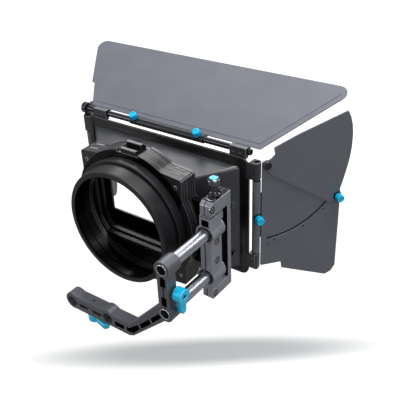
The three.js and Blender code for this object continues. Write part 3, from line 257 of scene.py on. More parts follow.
def turning_group() -> Tree:
    """Fine lines that a lathe leaves round an axis, as bands along it in Object space.

    Returns:
        A group with the output Lines.
    """
    group, start, end = new_group("turning_lines", {"X": 0.0, "Y": 1.0, "Z": 0.0, "Scale": 900.0},
                                  "Lines")
    place = add_node(group, "TexCoord").outputs["Object"]
    axis = add_node(group, "CombineXYZ", {title: start.outputs[title] for title in "XYZ"})
    along = add_node(group, "VectorMath", {0: place, 1: axis.outputs[0]}, operation="DOT_PRODUCT")
    noise = add_node(group, "TexNoise", {
        "W": along.outputs["Value"], "Scale": start.outputs["Scale"], "Detail": TURNING_DETAIL,
    }, noise_dimensions="1D")
    set_inputs(group, end, {"Lines": noise.outputs["Fac"]})
    return group


GRAIN = grain_group()
EDGE_WEAR_AND_HIGHLIGHT = wear_and_highlight_group()
TURNING = turning_group()


@dataclass(frozen=True)
class Finish:
    """Surface finish of one material slot.

    Attributes:
        slot: Slot that the finish fills.
        colour: Main colour, linear.
        worn_and_lit: Colour of the rubbed edges, lightened also as a painted highlight, linear.
        metallic: Share of metal.
        roughness: Middle roughness.
        spread: How far the roughness wanders either way.
        grain: Grains per metre.
        depth: Height of the grain, in millimetres.
        mottle: How far the colour wanders, as a share.
        wear_and_highlight: Strength of the lighter edge colour, partly rubbing and partly a painted
            highlight.
        specular: Specular level.
        turned: Axis of the turning lines, or None.
        variant: Last word of the material's name.
    """

    slot: Slot
    colour: Triple
    worn_and_lit: Triple
    metallic: float = 0.0
    roughness: float = 0.45
    spread: float = 0.08
    grain: float = 1800.0
    depth: float = 0.03
    mottle: float = 0.12
    wear_and_highlight: float = 0.6
    specular: float = 0.5
    turned: Triple | None = None
    variant: str = "finish"

    def material(self) -> bpy.types.Material:
        """Build the material, unless it is built already.

        Returns:
            The material.
        """
        name = f"{self.slot.value}_{self.variant}"
        found = bpy.data.materials.get(name)
        if found:
            return found
        material = bpy.data.materials.new(name)
        material.use_nodes = True
        tree = material.node_tree
        grain = add_node(tree, "Group", {"Scale": self.grain, "Mottle Scale": MOTTLE_SCALE},
                         node_tree=GRAIN)
        wear_and_highlight = add_node(tree, "Group", {"Amount": self.wear_and_highlight}, node_tree=EDGE_WEAR_AND_HIGHLIGHT)
        mottle = grain.outputs["Mottle"]
        tinted = mix_colours(tree, mottle, self.shade(1 - self.mottle), self.shade(1 + self.mottle))
        span = add_node(tree, "MapRange", {
            "Value": mottle, "To Min": max(self.roughness - self.spread, LEAST_ROUGHNESS),
            "To Max": self.roughness + self.spread})
        bump = add_node(tree, "Bump", {
            "Height": self.height(tree, grain.outputs["Height"]), "Distance": self.depth * MM})
        # The base colour lightens on the marked edges: partly rubbing, partly a painted highlight.
        set_inputs(tree, tree.nodes["Principled BSDF"], {
            "Base Color": mix_colours(tree, wear_and_highlight.outputs["Mask"], tinted, (*self.worn_and_lit, 1.0)),
            "Roughness": span.outputs["Result"], "Normal": bump.outputs["Normal"],
            "Metallic": self.metallic, "Specular IOR Level": self.specular})
        return material

    def height(self, tree: Tree, grain: Socket) \
            -> Socket:
        """Join the grain with the turning lines, where the finish has them.

        Args:
            tree: Tree of the material.
            grain: Height of the grain.

        Returns:
            The joint height.
        """
        if self.turned is None:
            return grain
        lines = add_node(tree, "Group", dict(zip("XYZ", self.turned)), node_tree=TURNING)
        fainter = add_math(tree, "MULTIPLY", grain, TURNED_GRAIN)
        return add_math(tree, "ADD", fainter, lines.outputs["Lines"])

    def shade(self, share: float) -> tuple[float, float, float, float]:
        """Scale the main colour by a share."""
        return (*(channel * share for channel in self.colour), 1.0)


FINISHES = {finish.slot: finish for finish in (
    Finish(Slot.ARM, (0.105, 0.109, 0.124), (0.36, 0.365, 0.40), metallic=0.35, roughness=0.38,
           wear_and_highlight=0.7),
    Finish(Slot.BLUE, (0.010, 0.62, 1.0), (0.40, 0.90, 1.0), metallic=0.25, roughness=0.27,
           wear_and_highlight=0.8, grain=2600.0, depth=0.015, mottle=0.08),
    Finish(Slot.CHROME, (0.40, 0.41, 0.455), (0.7, 0.71, 0.74), metallic=1.0, roughness=0.30,
           spread=0.03, grain=900.0, depth=0.004, mottle=0.04, wear_and_highlight=0.2),
    Finish(Slot.STEEL, (0.04, 0.04, 0.045), (0.5, 0.51, 0.54), metallic=0.9, roughness=0.24,
           wear_and_highlight=0.6, depth=0.01),
    Finish(Slot.GREY, (0.250, 0.259, 0.295), (0.50, 0.51, 0.55), metallic=0.35, roughness=0.36,
           wear_and_highlight=0.9),
    Finish(Slot.RING, (0.013, 0.0133, 0.0155), (0.16, 0.16, 0.175), roughness=0.33, spread=0.05,
           depth=0.012, wear_and_highlight=0.7, specular=0.32, turned=(0.0, 1.0, 0.0)),
    Finish(Slot.STAGE, (0.014, 0.0144, 0.0165), (0.26, 0.265, 0.285), roughness=0.34, wear_and_highlight=0.9,
           specular=0.38),
    Finish(Slot.PLASTIC, (0.005, 0.005, 0.006), (0.12, 0.12, 0.13), roughness=0.24, spread=0.05,
           wear_and_highlight=0.6, depth=0.01, specular=0.35),
    Finish(Slot.HOOD, (0.034, 0.036, 0.041), (0.20, 0.205, 0.22), roughness=0.36, wear_and_highlight=0.5,
           depth=0.025, specular=0.6),
    Finish(Slot.FLAG, (0.158, 0.167, 0.194), (0.30, 0.31, 0.34), roughness=0.46, wear_and_highlight=0.4,
           grain=1500.0, depth=0.03, mottle=0.06, specular=0.35),
)}
FRAME_FINISH = Finish(Slot.HOOD, (0.008, 0.008, 0.009), (0.13, 0.133, 0.145), roughness=0.28,
                      wear_and_highlight=0.7, depth=0.015, specular=0.5, variant="frame")
# Near-black painted shade on the faces inside the ring, the stages and the hood.
INSIDE_SHADE_FINISH = Finish(Slot.HOOD, (0.0012, 0.0012, 0.0014), (0.05, 0.05, 0.053), roughness=0.26,
                       wear_and_highlight=0.5, depth=0.01, specular=0.12, variant="inside")
LOCK_FINISH = Finish(Slot.STEEL, (0.07, 0.072, 0.08), (0.6, 0.61, 0.64), metallic=1.0,
                     roughness=0.15, spread=0.03, depth=0.003, variant="lock")
CAP_FINISH = replace(LOCK_FINISH, colour=(0.14, 0.143, 0.16), roughness=0.22, variant="cap")
SCREW_FINISH = Finish(Slot.STEEL, (0.42, 0.425, 0.45), (0.8, 0.81, 0.84), metallic=1.0,
                      roughness=0.2, spread=0.05, depth=0.004, variant="screw")
BRACKET_FINISH = Finish(Slot.GREY, (0.040, 0.042, 0.048), (0.30, 0.305, 0.33), metallic=0.3,
                        roughness=0.34, wear_and_highlight=0.8, variant="bracket")
BARREL_FINISH = Finish(Slot.FLAG, (0.014, 0.0145, 0.017), (0.14, 0.145, 0.16), roughness=0.4,
                       wear_and_highlight=0.5, specular=0.3, variant="barrel")
# Near-black painted shade for the stage mount and shaded faces of the swing bracket.
MOUNT_SHADE_FINISH = Finish(Slot.STAGE, (0.003, 0.003, 0.0035), (0.05, 0.05, 0.055), roughness=0.4,
                      wear_and_highlight=0.5, specular=0.08, variant="mount")
RIB_FINISH = Finish(Slot.STAGE, (0.34, 0.345, 0.36), (0.6, 0.61, 0.64), roughness=0.3, wear_and_highlight=0.9,
                    specular=0.5, variant="rib")
# Near-black painted shade in the gaps between parts.
SEAM_SHADE_FINISH = Finish(Slot.STAGE, (0.002, 0.002, 0.0022), (0.01, 0.01, 0.011), roughness=0.5,
                     wear_and_highlight=0.1, specular=0.05, variant="seam")
# Lighter painted highlight beside the gaps between the stage's plates.
EDGE_HIGHLIGHT_FINISH = Finish(Slot.STAGE, (0.13, 0.134, 0.15), (0.3, 0.305, 0.33), roughness=0.32,
                     wear_and_highlight=0.6, specular=0.4, variant="edge")
# Lighter painted highlight on the flats of the hood's bosses.
BOSS_HIGHLIGHT_FINISH = Finish(Slot.HOOD, (0.10, 0.104, 0.12), (0.2, 0.205, 0.22), roughness=0.4, wear_and_highlight=0.3,
                     specular=0.4, variant="boss")
# Near-black painted shade in pockets, and in the joints of the grey parts.
POCKET_SHADE_FINISH = Finish(Slot.ARM, (0.002, 0.002, 0.0024), (0.02, 0.02, 0.022), roughness=0.5,
                       wear_and_highlight=0.2, specular=0.08, variant="pocket")
GREY_POCKET_SHADE_FINISH = replace(POCKET_SHADE_FINISH, slot=Slot.GREY)


def body_of(node: str) -> str:
    """Name of the body that a CAD node rides on."""
    return frame["nodes"][node].parent.name.split(":", 1)[1]


def finish_of(node: str) -> Finish:
    """Finish of a CAD node's material slot."""
    return FINISHES[Slot(SLOT_OF[node])]


def span_along(node: str, axis: Vector) -> Pair:
    """Lowest and highest place of a CAD node along an axis, in metres."""
    levels = [vertex.co.dot(axis) for vertex in frame["nodes"][node].data.vertices]
    return min(levels), max(levels)


def settle(bm: Mesh) -> None:
    """Order a mesh's parts along a slanting line, because some operators leave them unordered.

    Args:
        bm: Mesh to put in order.
    """
    line = Vector(ORDER_LINE)
    bm.verts.sort(key=lambda vertex: vertex.co.dot(line))
    bm.edges.sort(key=lambda edge: (edge.verts[0].co + edge.verts[1].co).dot(line))
    bm.faces.sort(key=lambda face: face.calc_center_median().dot(line))


def turned(profile: list[Pair], steps: int = 64, closed: bool = False) -> Mesh:
    """Turn a profile about Z.

    Args:
        profile: Points as radius and height, in millimetres.
        steps: Facets round the axis.
        closed: Whether the profile closes on itself, as a tube's does.

    Returns:
        The turned mesh, shaded smooth with its sharp edges marked.
    """
    bm = bmesh.new()
    points = [bm.verts.new((radius * MM, 0.0, height * MM)) for radius, height in profile]
    edges = [bm.edges.new(pair) for pair in zip(points, points[1:])]
    if closed:
        edges.append(bm.edges.new((points[-1], points[0])))
    bmesh.ops.spin(bm, geom=points + edges, cent=(0, 0, 0), axis=(0, 0, 1), angle=math.tau,
                   steps=steps, use_merge=True, use_duplicate=False)
    bmesh.ops.remove_doubles(bm, verts=bm.verts, dist=MM * TURNED_MERGE)
    settle(bm)
    bmesh.ops.recalc_face_normals(bm, faces=bm.faces)
    soften(bm, 0.0)
    return bm


def is_crisp(edge: bmesh.types.BMEdge, least: float = CRISP_ANGLE) -> bool:
    """Whether an edge's two faces meet at more than an angle in degrees."""
    return len(edge.link_faces) == 2 and edge.calc_face_angle(0.0) > math.radians(least)


def turns_gently(edge: bmesh.types.BMEdge, width: float) -> bool:
    """Whether an edge is long enough for a bevel, or goes on nearly straight at both ends.

    Args:
        edge: Edge to look at.
        width: Width of the bevel, in millimetres.

    Returns:
        Whether the bevel's ends stay clean.
    """
    if edge.calc_length() > SHARED_ROOM * width * MM:
        return True
    for vertex in edge.verts:
        run = edge.other_vert(vertex).co - vertex.co
        turns = [run.angle(vertex.co - other.other_vert(vertex).co) for other in vertex.link_edges
                 if other is not edge and is_crisp(other)]
        if min(turns, default=math.pi) > math.radians(GENTLE_TURN):
            return False
    return True


def has_room(loop: bmesh.types.BMLoop, width: float) -> bool:
    """Whether a bevel along a face's edge stays clear of the face's other edges.

    Args:
        loop: Loop of the edge in the face.
        width: Width of the bevel, in millimetres.

    Returns:
        Whether the face has room for the bevel.
    """
    start, end = loop.vert.co, loop.link_loop_next.vert.co
    along = (end - start).normalized()
    inward = loop.face.normal.cross(along)
    others = [other for other in loop.face.loops if other is not loop]
    for share in ROOM_PROBES:
        point = start.lerp(end, share)
        for other in others:
            first, last = other.vert.co - point, other.link_loop_next.vert.co - point
            side, far_side = first.dot(along), last.dot(along)
            if (side <= 0) == (far_side <= 0):
                continue
            reach = first.dot(inward) - (last - first).dot(inward) * side / (far_side - side)
            needed = (SHARED_ROOM if is_crisp(other.edge) else PLAIN_ROOM) * width * MM
            if TOUCHING < reach < needed:
                return False
    return True


def soften(bm: Mesh, width: float, segments: int = 2,
           crisp: float = CRISP_ANGLE) -> None:
    """Bevel the crisp edges of a mesh where they have room, and mark the new faces as edges.

    Args:
        bm: Mesh to soften.
        width: Width of the bevel, in millimetres.
        segments: Steps across the bevel.
        crisp: Least angle of an edge that is bevelled, in degrees.
    """
    layer = bm.faces.layers.float.get("edge") or bm.faces.layers.float.new("edge")
    edges = [] if width <= 0 else [
        edge for edge in bm.edges
        if is_crisp(edge, crisp) and edge.is_convex and turns_gently(edge, width)
        and all(has_room(loop, width) for loop in edge.link_loops)]
    if edges:
        made = bmesh.ops.bevel(bm, geom=edges, offset=width * MM, offset_type="OFFSET",
                               affect="EDGES", segments=segments, profile=0.5, material=-1,
                               clamp_overlap=False, loop_slide=True)
        # Marked faces take the lighter edge colour, partly rubbing and partly a painted highlight.
        for face in made["faces"]:
            face[layer] = 1.0
    for face in bm.faces:
        face.smooth = True
    for edge in bm.edges:
        edge.smooth = edge.calc_face_angle(0.0) < math.radians(SHARP_ANGLE)


def copied(node: str) -> Mesh:
    """Copy a CAD node's mesh, with its corners merged and its flat faces joined.

    Args:
        node: Name of the node.

    Returns:
        The copy.
    """
    bm = bmesh.new()
    bm.from_mesh(frame["nodes"][node].data)
    bmesh.ops.remove_doubles(bm, verts=bm.verts, dist=MM * CAD_MERGE)
    bmesh.ops.dissolve_limit(bm, angle_limit=math.radians(FLAT_ANGLE), verts=bm.verts,
                             edges=bm.edges)
    return bm


def moved(bm: Mesh, place: Matrix) -> Mesh:
    """Move a mesh by a matrix."""
    bmesh.ops.transform(bm, matrix=place, verts=bm.verts)
    return bm


def add_piece(name: str, bm: Mesh, body: str, finish: Finish,
              nodes: tuple[str, ...] = ()) -> bpy.types.Object:
    """Make a mesh a piece of the object.

    Args:
        name: Name of the piece.
        bm: Mesh, which is freed.
        body: Body that the piece rides on.
        finish: Finish of the piece.
        nodes: CAD nodes that the piece stands for.

    Returns:
        The new object.
    """
    settle(bm)
    mesh = bpy.data.meshes.new(name)
    bm.to_mesh(mesh)
    bm.free()
    piece = bpy.data.objects.new(name, mesh)
    bpy.context.scene.collection.objects.link(piece)
    mesh.materials.append(finish.material())
    evened = piece.modifiers.new("even_normals", "WEIGHTED_NORMAL")
    evened.keep_sharp = True
    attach(piece, body)
    if nodes:
        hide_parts(*nodes)
    LOG.info("%s: %d faces on %s", name, len(mesh.polygons), body)
    return piece


def turned_piece(name: str, profile: list[Pair], place: Matrix, body: str, finish: Finish,
                 nodes: tuple[str, ...] = (), steps: int = 40, closed: bool = True) \
        -> bpy.types.Object:
    """Turn a profile, move it by a matrix and make it a piece of the object."""
    return add_piece(name, moved(turned(profile, steps, closed), place), body, finish, nodes)


def folded(bm: Mesh) -> bool:
    """Whether a face covers itself twice, as it does where a bevel is too wide for it.

    Args:
        bm: Mesh to look at.

    Returns:
        Whether a face covers more than the slack in square millimetres twice.
    """
    covered = {}
    for corners in bm.calc_loop_triangles():
        a, b, c = (corner.vert.co for corner in corners)
        face = corners[0].face
        covered[face] = covered.get(face, 0.0) + (b - a).cross(c - a).length / 2
    return any(area > face.calc_area() + FOLD_SLACK * MM * MM for face, area in covered.items())


def dress(node: str, width: float = SMALL_EDGE, segments: int = 2,
          finish: Finish | None = None) -> bpy.types.Object:
    """Dress a CAD node with a softened copy of itself.

    Args:
        node: Name of the node.
        width: Width of its edges' bevel, in millimetres, which shrinks until no face folds.
        segments: Steps across the bevel.
        finish: Finish of the copy, where it isn't the node's own.

    Returns:
        The new object.
    """
    for share in BEVEL_SHARES:
        bm = copied(node)
        soften(bm, width * share, segments)
        if share == BEVEL_SHARES[-1] or not folded(bm):
            break
        bm.free()
    LOG.info("%s: edges of %.2f mm", node, width * share)
    return add_piece(f"{node}_dressed", bm, body_of(node), finish or finish_of(node), (node,))


def refinish(piece: bpy.types.Object, finish: Finish, chosen: FaceTest) -> None:
    """Give some faces of a piece another finish.

    Args:
        piece: Piece whose faces are refinished.
        finish: Their finish.
        chosen: Test of a face's middle in millimetres, its normal and its corners in millimetres.
    """
    mesh = piece.data
    mesh.materials.append(finish.material())
    for face in mesh.polygons:
        corners = [mesh.vertices[index].co / MM for index in face.vertices]
        if chosen(face.center / MM, face.normal, corners):
            face.material_index = len(mesh.materials) - 1


def stripe(piece: bpy.types.Object, finish: Finish, axis: int, low: float, high: float) -> None:
    """Cut a band across a piece and give it another finish.

    Args:
        piece: Piece that gets the band.
        finish: Finish of the band.
        axis: Number of the axis that the band lies across.
        low: Lower end of the band along the axis, in millimetres.
        high: Upper end of the band along the axis, in millimetres.
    """
    bm = bmesh.new()
    bm.from_mesh(piece.data)
    across = Vector([float(number == axis) for number in range(3)])
    for level in (low, high):
        bmesh.ops.bisect_plane(bm, geom=[*bm.verts, *bm.edges, *bm.faces], dist=CUT_MERGE,
                               plane_co=across * level * MM, plane_no=across)
    bm.to_mesh(piece.data)
    bm.free()
    refinish(piece, finish, lambda middle, normal, corners: (
        low < middle[axis] < high and abs(normal[axis]) < FACING))


def faces_axis(middle: Vector, normal: Vector, corners: list[Vector]) -> bool:
    """Whether a face looks at the optical axis."""
    rise = middle.z - AXIS_HEIGHT
    return middle.x * normal.x + rise * normal.z < -INWARD_SHARE * math.hypot(middle.x, rise)


def seat(node: str, axis: Vector) -> Matrix:
    """Place on a turned CAD node's axis, at its lowest point along that axis.

    Args:
        node: Name of the node.
        axis: Direction of the axis.

    Returns:
        A matrix that takes +Z to the axis.
    """
    turn = axis.normalized().to_track_quat("Z", "Y").to_matrix().to_4x4()
    inward = turn.inverted()
    points = [inward @ vertex.co for vertex in frame["nodes"][node].data.vertices]
    low = [min(point[i] for point in points) for i in range(3)]
    high = [max(point[i] for point in points) for i in range(3)]
    return turn @ Matrix.Translation(((low[0] + high[0]) / 2, (low[1] + high[1]) / 2, low[2]))


def edges_of(points: list[bmesh.types.BMVert]) -> list[bmesh.types.BMEdge]:
    """Edges at some points, each once and in an order that is the same each run."""
    return list(dict.fromkeys(edge for point in points for edge in point.link_edges))


def raise_ring(bm: Mesh, edges: list[bmesh.types.BMEdge], steps: list[Pair]) \
        -> list[bmesh.types.BMEdge]:
    """Extrude a closed ring of edges upwards in steps about the Z axis.

    Args:
        bm: Mesh that holds the ring.
        edges: Edges of the ring.
        steps: Rise in millimetres and scale of each step.

    Returns:
        The edges of the last ring.
    """
    for rise, scale in steps:
        made = bmesh.ops.extrude_edge_only(bm, edges=edges)["geom"]
        points = [item for item in made if isinstance(item, bmesh.types.BMVert)]
        edges = [item for item in made if isinstance(item, bmesh.types.BMEdge)]
        bmesh.ops.translate(bm, verts=points, vec=(0, 0, rise * MM))
        bmesh.ops.scale(bm, verts=points, vec=(scale, scale, 1))
    return edges


def hex_socket(bm: Mesh, height: float, radius: float, depth: float) -> None:
    """Close the open upper ring of a turned mesh with a hex socket.

    Args:
        bm: Mesh with one open ring.
        height: Height of the ring, in millimetres.
        radius: Radius over the socket's corners, in millimetres.
        depth: Depth of the socket, in millimetres.
    """
    rim = [edge for edge in bm.edges if edge.is_boundary]
    made = bmesh.ops.create_circle(bm, cap_ends=False, segments=6, radius=radius * MM,
                                   matrix=Matrix.Translation((0, 0, height * MM)))
    inner = edges_of(made["verts"])
    bmesh.ops.bridge_loops(bm, edges=rim + inner)
    floor = raise_ring(bm, inner, [(-depth, 1.0)])
    bmesh.ops.edgeloop_fill(bm, edges=floor)
    bmesh.ops.recalc_face_normals(bm, faces=bm.faces)


def cap_screw(radius: float, height: float, socket: float) -> Mesh:
    """Socket cap screw's head with a rounded rim, standing on Z = 0.

    Args:
        radius: Radius of the head, in millimetres.
        height: Height of the head, in millimetres.
        socket: Radius over the socket's corners, in millimetres.

    Returns:
        The head.
    """
    bm = turned([(0, 0), (radius - 0.2, 0), (radius, 0.2), (radius, height - 0.5),
                 (radius - 0.15, height - 0.15), (radius - 0.5, height), (socket * 1.3, height)],
                40)
    hex_socket(bm, height, socket, height * 0.6)
    soften(bm, 0.1, 1, 50.0)
    return bm


def screw_head(node: str, axis: Vector, radius: float, height: float, socket: float) -> None:
    """Replace a cap screw with one that has a rounded head and a hex socket.

    Args:
        node: CAD node of the screw.
        axis: Direction from the shank to the head.
        radius: Radius of the head, in millimetres.
        height: Height of the head, in millimetres.
        socket: Radius over the socket's corners, in millimetres.
    """
    shank_radius = 1.8
    low, high = span_along(node, axis)
    length = (high - low) / MM
    bm = cap_screw(radius, height, socket)
    bmesh.ops.translate(bm, verts=bm.verts, vec=(0, 0, (length - height) * MM))
    if length > height + 1:
        shank = bmesh.ops.create_cone(
            bm, cap_ends=True, segments=24, radius1=shank_radius * MM, radius2=shank_radius * MM,
            depth=(length - height) * MM,
            matrix=Matrix.Translation((0, 0, (length - height) / 2 * MM)))["verts"]
        for vertex in shank:
            for face in vertex.link_faces:
                face.smooth = True
    add_piece(f"{node}_turned", moved(bm, seat(node, axis)), body_of(node), SCREW_FINISH, (node,))


def side_screw(node: str) -> None:
    """Set a screw that is sunk in a face looking along X, with a black ring round it that paints
    the shade in its counterbore.

    Args:
        node: CAD node of the screw.
    """
    inner, outer, depth = 2.95, 4.4, 0.3
    screw_head(node, Vector((1, 0, 0)), 2.9, 3.0, 1.4)
    low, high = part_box(node)
    middle = (low + high) / 2
    place = Matrix.Translation((OUTER_FACE * MM, middle.y, middle.z)) \
        @ Matrix.Rotation(math.pi / 2, 4, "Y")
    # The black ring is painted shade for the screw's counterbore.
    turned_piece(f"{node}_rim", [
        (inner, -depth), (outer, -depth), (outer, depth * 0.5), (outer - 0.2, depth),
        (inner, depth)], place, body_of(node), FINISHES[Slot.PLASTIC])


@dataclass
class ThumbScrew:
    """Fluted blue thumbscrew.

    Attributes:
        node: CAD node that it stands for.
        axis: Direction from the seat to the head.
        collar: Height of the collar under the head, in millimetres.
        stem: Length of the stem below the seat, in millimetres.
        radius: Radius of the head, in millimetres.
        length: Length of the head, in millimetres.
        flutes: Number of flutes round the head.
        flute_share: Radius at a flute's bottom, as a share of the head's.
    """

    node: str
    axis: Triple
    collar: float
    stem: float
    radius: float = 5.0
    length: float = 7.5
    flutes: int = 18
    flute_share: float = 0.91

    def build(self) -> None:
        """Build the head and the stem with its collar."""
        place = seat(self.node, Vector(self.axis))
        neck = self.stem + self.collar
        bm = turned([(0, 0), (1.8, 0), (1.8, self.stem), (3.3, self.stem), (3.6, self.stem + 0.3),
                     (3.6, neck - 0.2), (3.0, neck + 0.6)], 40)
        bmesh.ops.edgeloop_fill(bm, edges=[edge for edge in bm.edges if edge.is_boundary])
        head = bmesh.ops.create_circle(
            bm, cap_ends=False, segments=self.flutes * 4, radius=self.radius * 0.9 * MM,
            matrix=Matrix.Translation((0, 0, neck * MM)))["verts"]
        around = sorted(head, key=lambda point: math.atan2(point.co.y, point.co.x))
        for vertex in around[::4]:
            vertex.co.xy *= self.flute_share
        base = edges_of(head)
        straight = self.length - 1.6
        top = raise_ring(bm, base, [(0.3, 1.06), (0.5, 1.047), (straight, 1.0), (0.5, 0.96),
                                    (0.3, 0.93), (0.0, 0.84), (-0.35, 0.96), (0.0, 0.5)])
        bmesh.ops.edgeloop_fill(bm, edges=top)
        bmesh.ops.edgeloop_fill(bm, edges=base)
        bmesh.ops.recalc_face_normals(bm, faces=bm.faces)
        soften(bm, 0.0)
        body = body_of(self.node)
        add_piece(f"{self.node}_turned", moved(bm, place), body, finish_of(self.node),
                  (self.node,))
        foot = self.stem + 0.05
        turned_piece(f"{self.node}_washer", [
            (3.7, foot), (5.3, foot), (5.6, foot + 0.25), (5.6, foot + 0.6), (5.3, foot + 0.85),
            (3.7, foot + 0.85)], place, body, FINISHES[Slot.PLASTIC])


@dataclass
class SupportArm:
    """Arm that clamps on the support rods, with its two blue levers."""

    edge: float = 0.7
    washer_edge: float = 0.3
    lever_edge: float = 1.1
    pocket_start: float = 2.0
    pocket_end: float = 9.0
    wall_tilt: float = 0.4
    screw_sunk: float = 3.9

    def build(self) -> None:
        """Dress the arm, its washer and its levers."""
        arm = dress("support_arm", self.edge, 3)
        # Painted shade in the pockets of the rear face.
        refinish(arm, POCKET_SHADE_FINISH, self.in_pocket)
        dress("arm_lever_washer", self.washer_edge)
        for node in ("support_clamp_lever", "arm_lever"):
            dress(node, self.lever_edge, 3)
        self.lever_screw("arm_lever", (1, 0, 0), (0, 11.5, 77.0))
        self.lever_screw("support_clamp_lever", (0, 0, -1), (0, 7.5, 0))

    def in_pocket(self, middle: Vector, normal: Vector, corners: list[Vector]) -> bool:
        """Whether a face lies in one of the pockets of the arm's rear face, where shade is painted.

        Args:
            middle: Middle of the face, in millimetres.
            normal: Normal of the face.
            corners: Corners of the face, in millimetres.

        Returns:
            Whether it is a pocket's floor or wall.
        """
        if normal.y < -FACING:
            return self.pocket_start < middle.y < self.pocket_end
        deep = max(corner.y for corner in corners)
        return abs(normal.y) < self.wall_tilt and self.pocket_start < deep < self.pocket_end

    def lever_screw(self, node: str, direction: Triple, hub: Triple) -> None:
        """Sink a dark socket screw into a lever's hub.

        Args:
            node: CAD node of the lever.
            direction: Direction from the stem to the hub's face.
            hub: Point on the hub's axis, in millimetres.
        """
        axis = Vector(direction)
        middle = Vector(hub) * MM
        reach = span_along(node, axis)[1]
        place = Matrix.Translation(middle - axis * middle.dot(axis)
                                   + axis * (reach - self.screw_sunk * MM))
        turn = axis.to_track_quat("Z", "Y").to_matrix().to_4x4()
        add_piece(f"{node}_screw", moved(cap_screw(2.55, 3.0, 1.5), place @ turn), body_of(node),
                  FINISHES[Slot.STEEL])


@dataclass
class SideRods:
    """Chromed side rods with the bushes that hold them in the swing block."""

    radius: float = 7.5
    wall: float = 1.8
    x: float = 122.5
    rear: float = -1.0
    front: float = 103.6
    bush_edge: float = 0.4

    def build(self) -> None:
        """Turn both rods and dress both bushes."""
        inner = self.radius - self.wall
        profile = [(inner, self.rear + 0.4), (inner + 0.4, self.rear),
                   (self.radius - 0.7, self.rear), (self.radius, self.rear + 0.7),
                   (self.radius, self.front - 0.4), (self.radius - 0.4, self.front),
                   (inner, self.front)]
        for word in ("upper", "lower"):
            node = f"side_rod_{word}"
            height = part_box(node)[0].z / MM + self.radius
            place = Matrix.Translation((self.x * MM, 0, height * MM)) \
                @ Matrix.Rotation(-math.pi / 2, 4, "X")
            turned_piece(f"{node}_turned", profile, place, body_of(node), finish_of(node),
                         (node,), 72)
            dress(f"rod_bush_{word}", self.bush_edge)


@dataclass
class SwingBlock:
    """Block that joins the side rods to the swing bracket, with its screws."""

    edge: float = 0.6
    pin_edge: float = 0.3
    seam: float = 1.0
    pocket: tuple[Pair, Pair, Pair] = ((118.0, 129.6), (79.4, 83.4), (121.4, 131.8))

    def build(self) -> None:
        """Dress the block and set its screws."""
        block = dress("swing_block", self.edge, 3)
        # Painted shade in the pocket of the block's head.
        refinish(block, GREY_POCKET_SHADE_FINISH, self.in_pocket)
        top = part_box("swing_block")[1].z / MM
        # Painted shade along the joint at the block's top.
        stripe(block, GREY_POCKET_SHADE_FINISH, 2, top - self.seam, top)
        for node in ("block_screw_upper", "block_screw_lower"):
            side_screw(node)
        for node in ("pivot_screw_upper", "pivot_screw_lower"):
            dress(node, self.pin_edge)

    def in_pocket(self, middle: Vector, normal: Vector, corners: list[Vector]) -> bool:
        """Whether a face lies in the pocket in the block's head, where shade is painted."""
        return all(low < value < high for value, (low, high) in zip(middle, self.pocket))


@dataclass
class SwingBracket:
    """C-shaped bracket in two halves that the optical parts swing on."""

    edge: float = 0.8
    top: float = 152.5
    level: float = 0.98
    inner_wall: float = 112.0
    seam: float = 0.8

    def build(self) -> None:
        """Dress the halves and set their screws."""
        for node in ("swing_bracket_inner", "swing_bracket_outer"):
            half = dress(node, self.edge, 3)
            # Painted shade on the bracket's top and on the wall behind the block.
            refinish(half, replace(MOUNT_SHADE_FINISH, slot=Slot.GREY), self.in_painted_shade)
            if node.endswith("_inner"):
                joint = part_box(node)[1].x / MM
                # Painted shade along the joint between the two halves.
                stripe(half, GREY_POCKET_SHADE_FINISH, 0, joint - self.seam, joint)
        for node in ("bracket_screw_upper", "bracket_screw_lower"):
            side_screw(node)

    def in_painted_shade(self, middle: Vector, normal: Vector, corners: list[Vector]) -> bool:
        """Whether a face is the bracket's top or the wall behind the block, where shade is painted.
        """
        return (normal.z > self.level and middle.z > self.top) \
            or (normal.y < -FACING and middle.y > self.inner_wall)


@dataclass
class SwingLock:
    """Push-pull lock on top of the swing bracket."""

    x: float = 123.2
    y: float = 99.5
    pin_bottom: float = 135.8
    skirt_bottom: float = 155.1
    cap_rise: float = 12.9

    def build(self) -> None:
        """Turn the plunger, the cap and the blue button in the cap."""
        pin, low = self.pin_bottom, self.skirt_bottom
        foot = low + self.cap_rise
        self.part("lock_plunger_turned", [
            (0, pin), (2.0, pin), (2.3, pin + 0.3), (2.3, low), (7.2, low), (7.6, low + 0.4),
            (7.6, low + 1.8), (7.2, low + 2.4), (6.2, low + 3.2), (5.4, low + 4.4),
            (4.9, low + 6.0), (4.6, low + 8.4), (4.6, low + 12.6), (0, low + 12.6),
        ], LOCK_FINISH, ("swing_lock_plunger",))
        self.part("lock_cap_turned", [
            (0, foot), (6.0, foot), (7.0, foot + 0.4), (7.8, foot + 1.2), (8.2, foot + 2.2),
            (8.2, foot + 5.2), (7.9, foot + 6.4), (7.2, foot + 7.3), (6.2, foot + 7.9),
            (5.2, foot + 8.2), (4.9, foot + 7.9), (0, foot + 7.9),
        ], CAP_FINISH, ("swing_lock_cap",))
        self.part("lock_button", [
            (0, foot + 7.6), (4.6, foot + 7.6), (4.7, foot + 8.1), (4.3, foot + 8.35),
            (0, foot + 8.5),
        ], FINISHES[Slot.BLUE], steps=48)

    def part(self, name: str, profile: list[Pair], finish: Finish, nodes: tuple[str, ...] = (),
             steps: int = 64) -> None:
        """Turn one part about the lock's axis."""
        place = Matrix.Translation((self.x * MM, self.y * MM, 0))
        turned_piece(name, profile, place, "lock", finish, nodes, steps, closed=False)


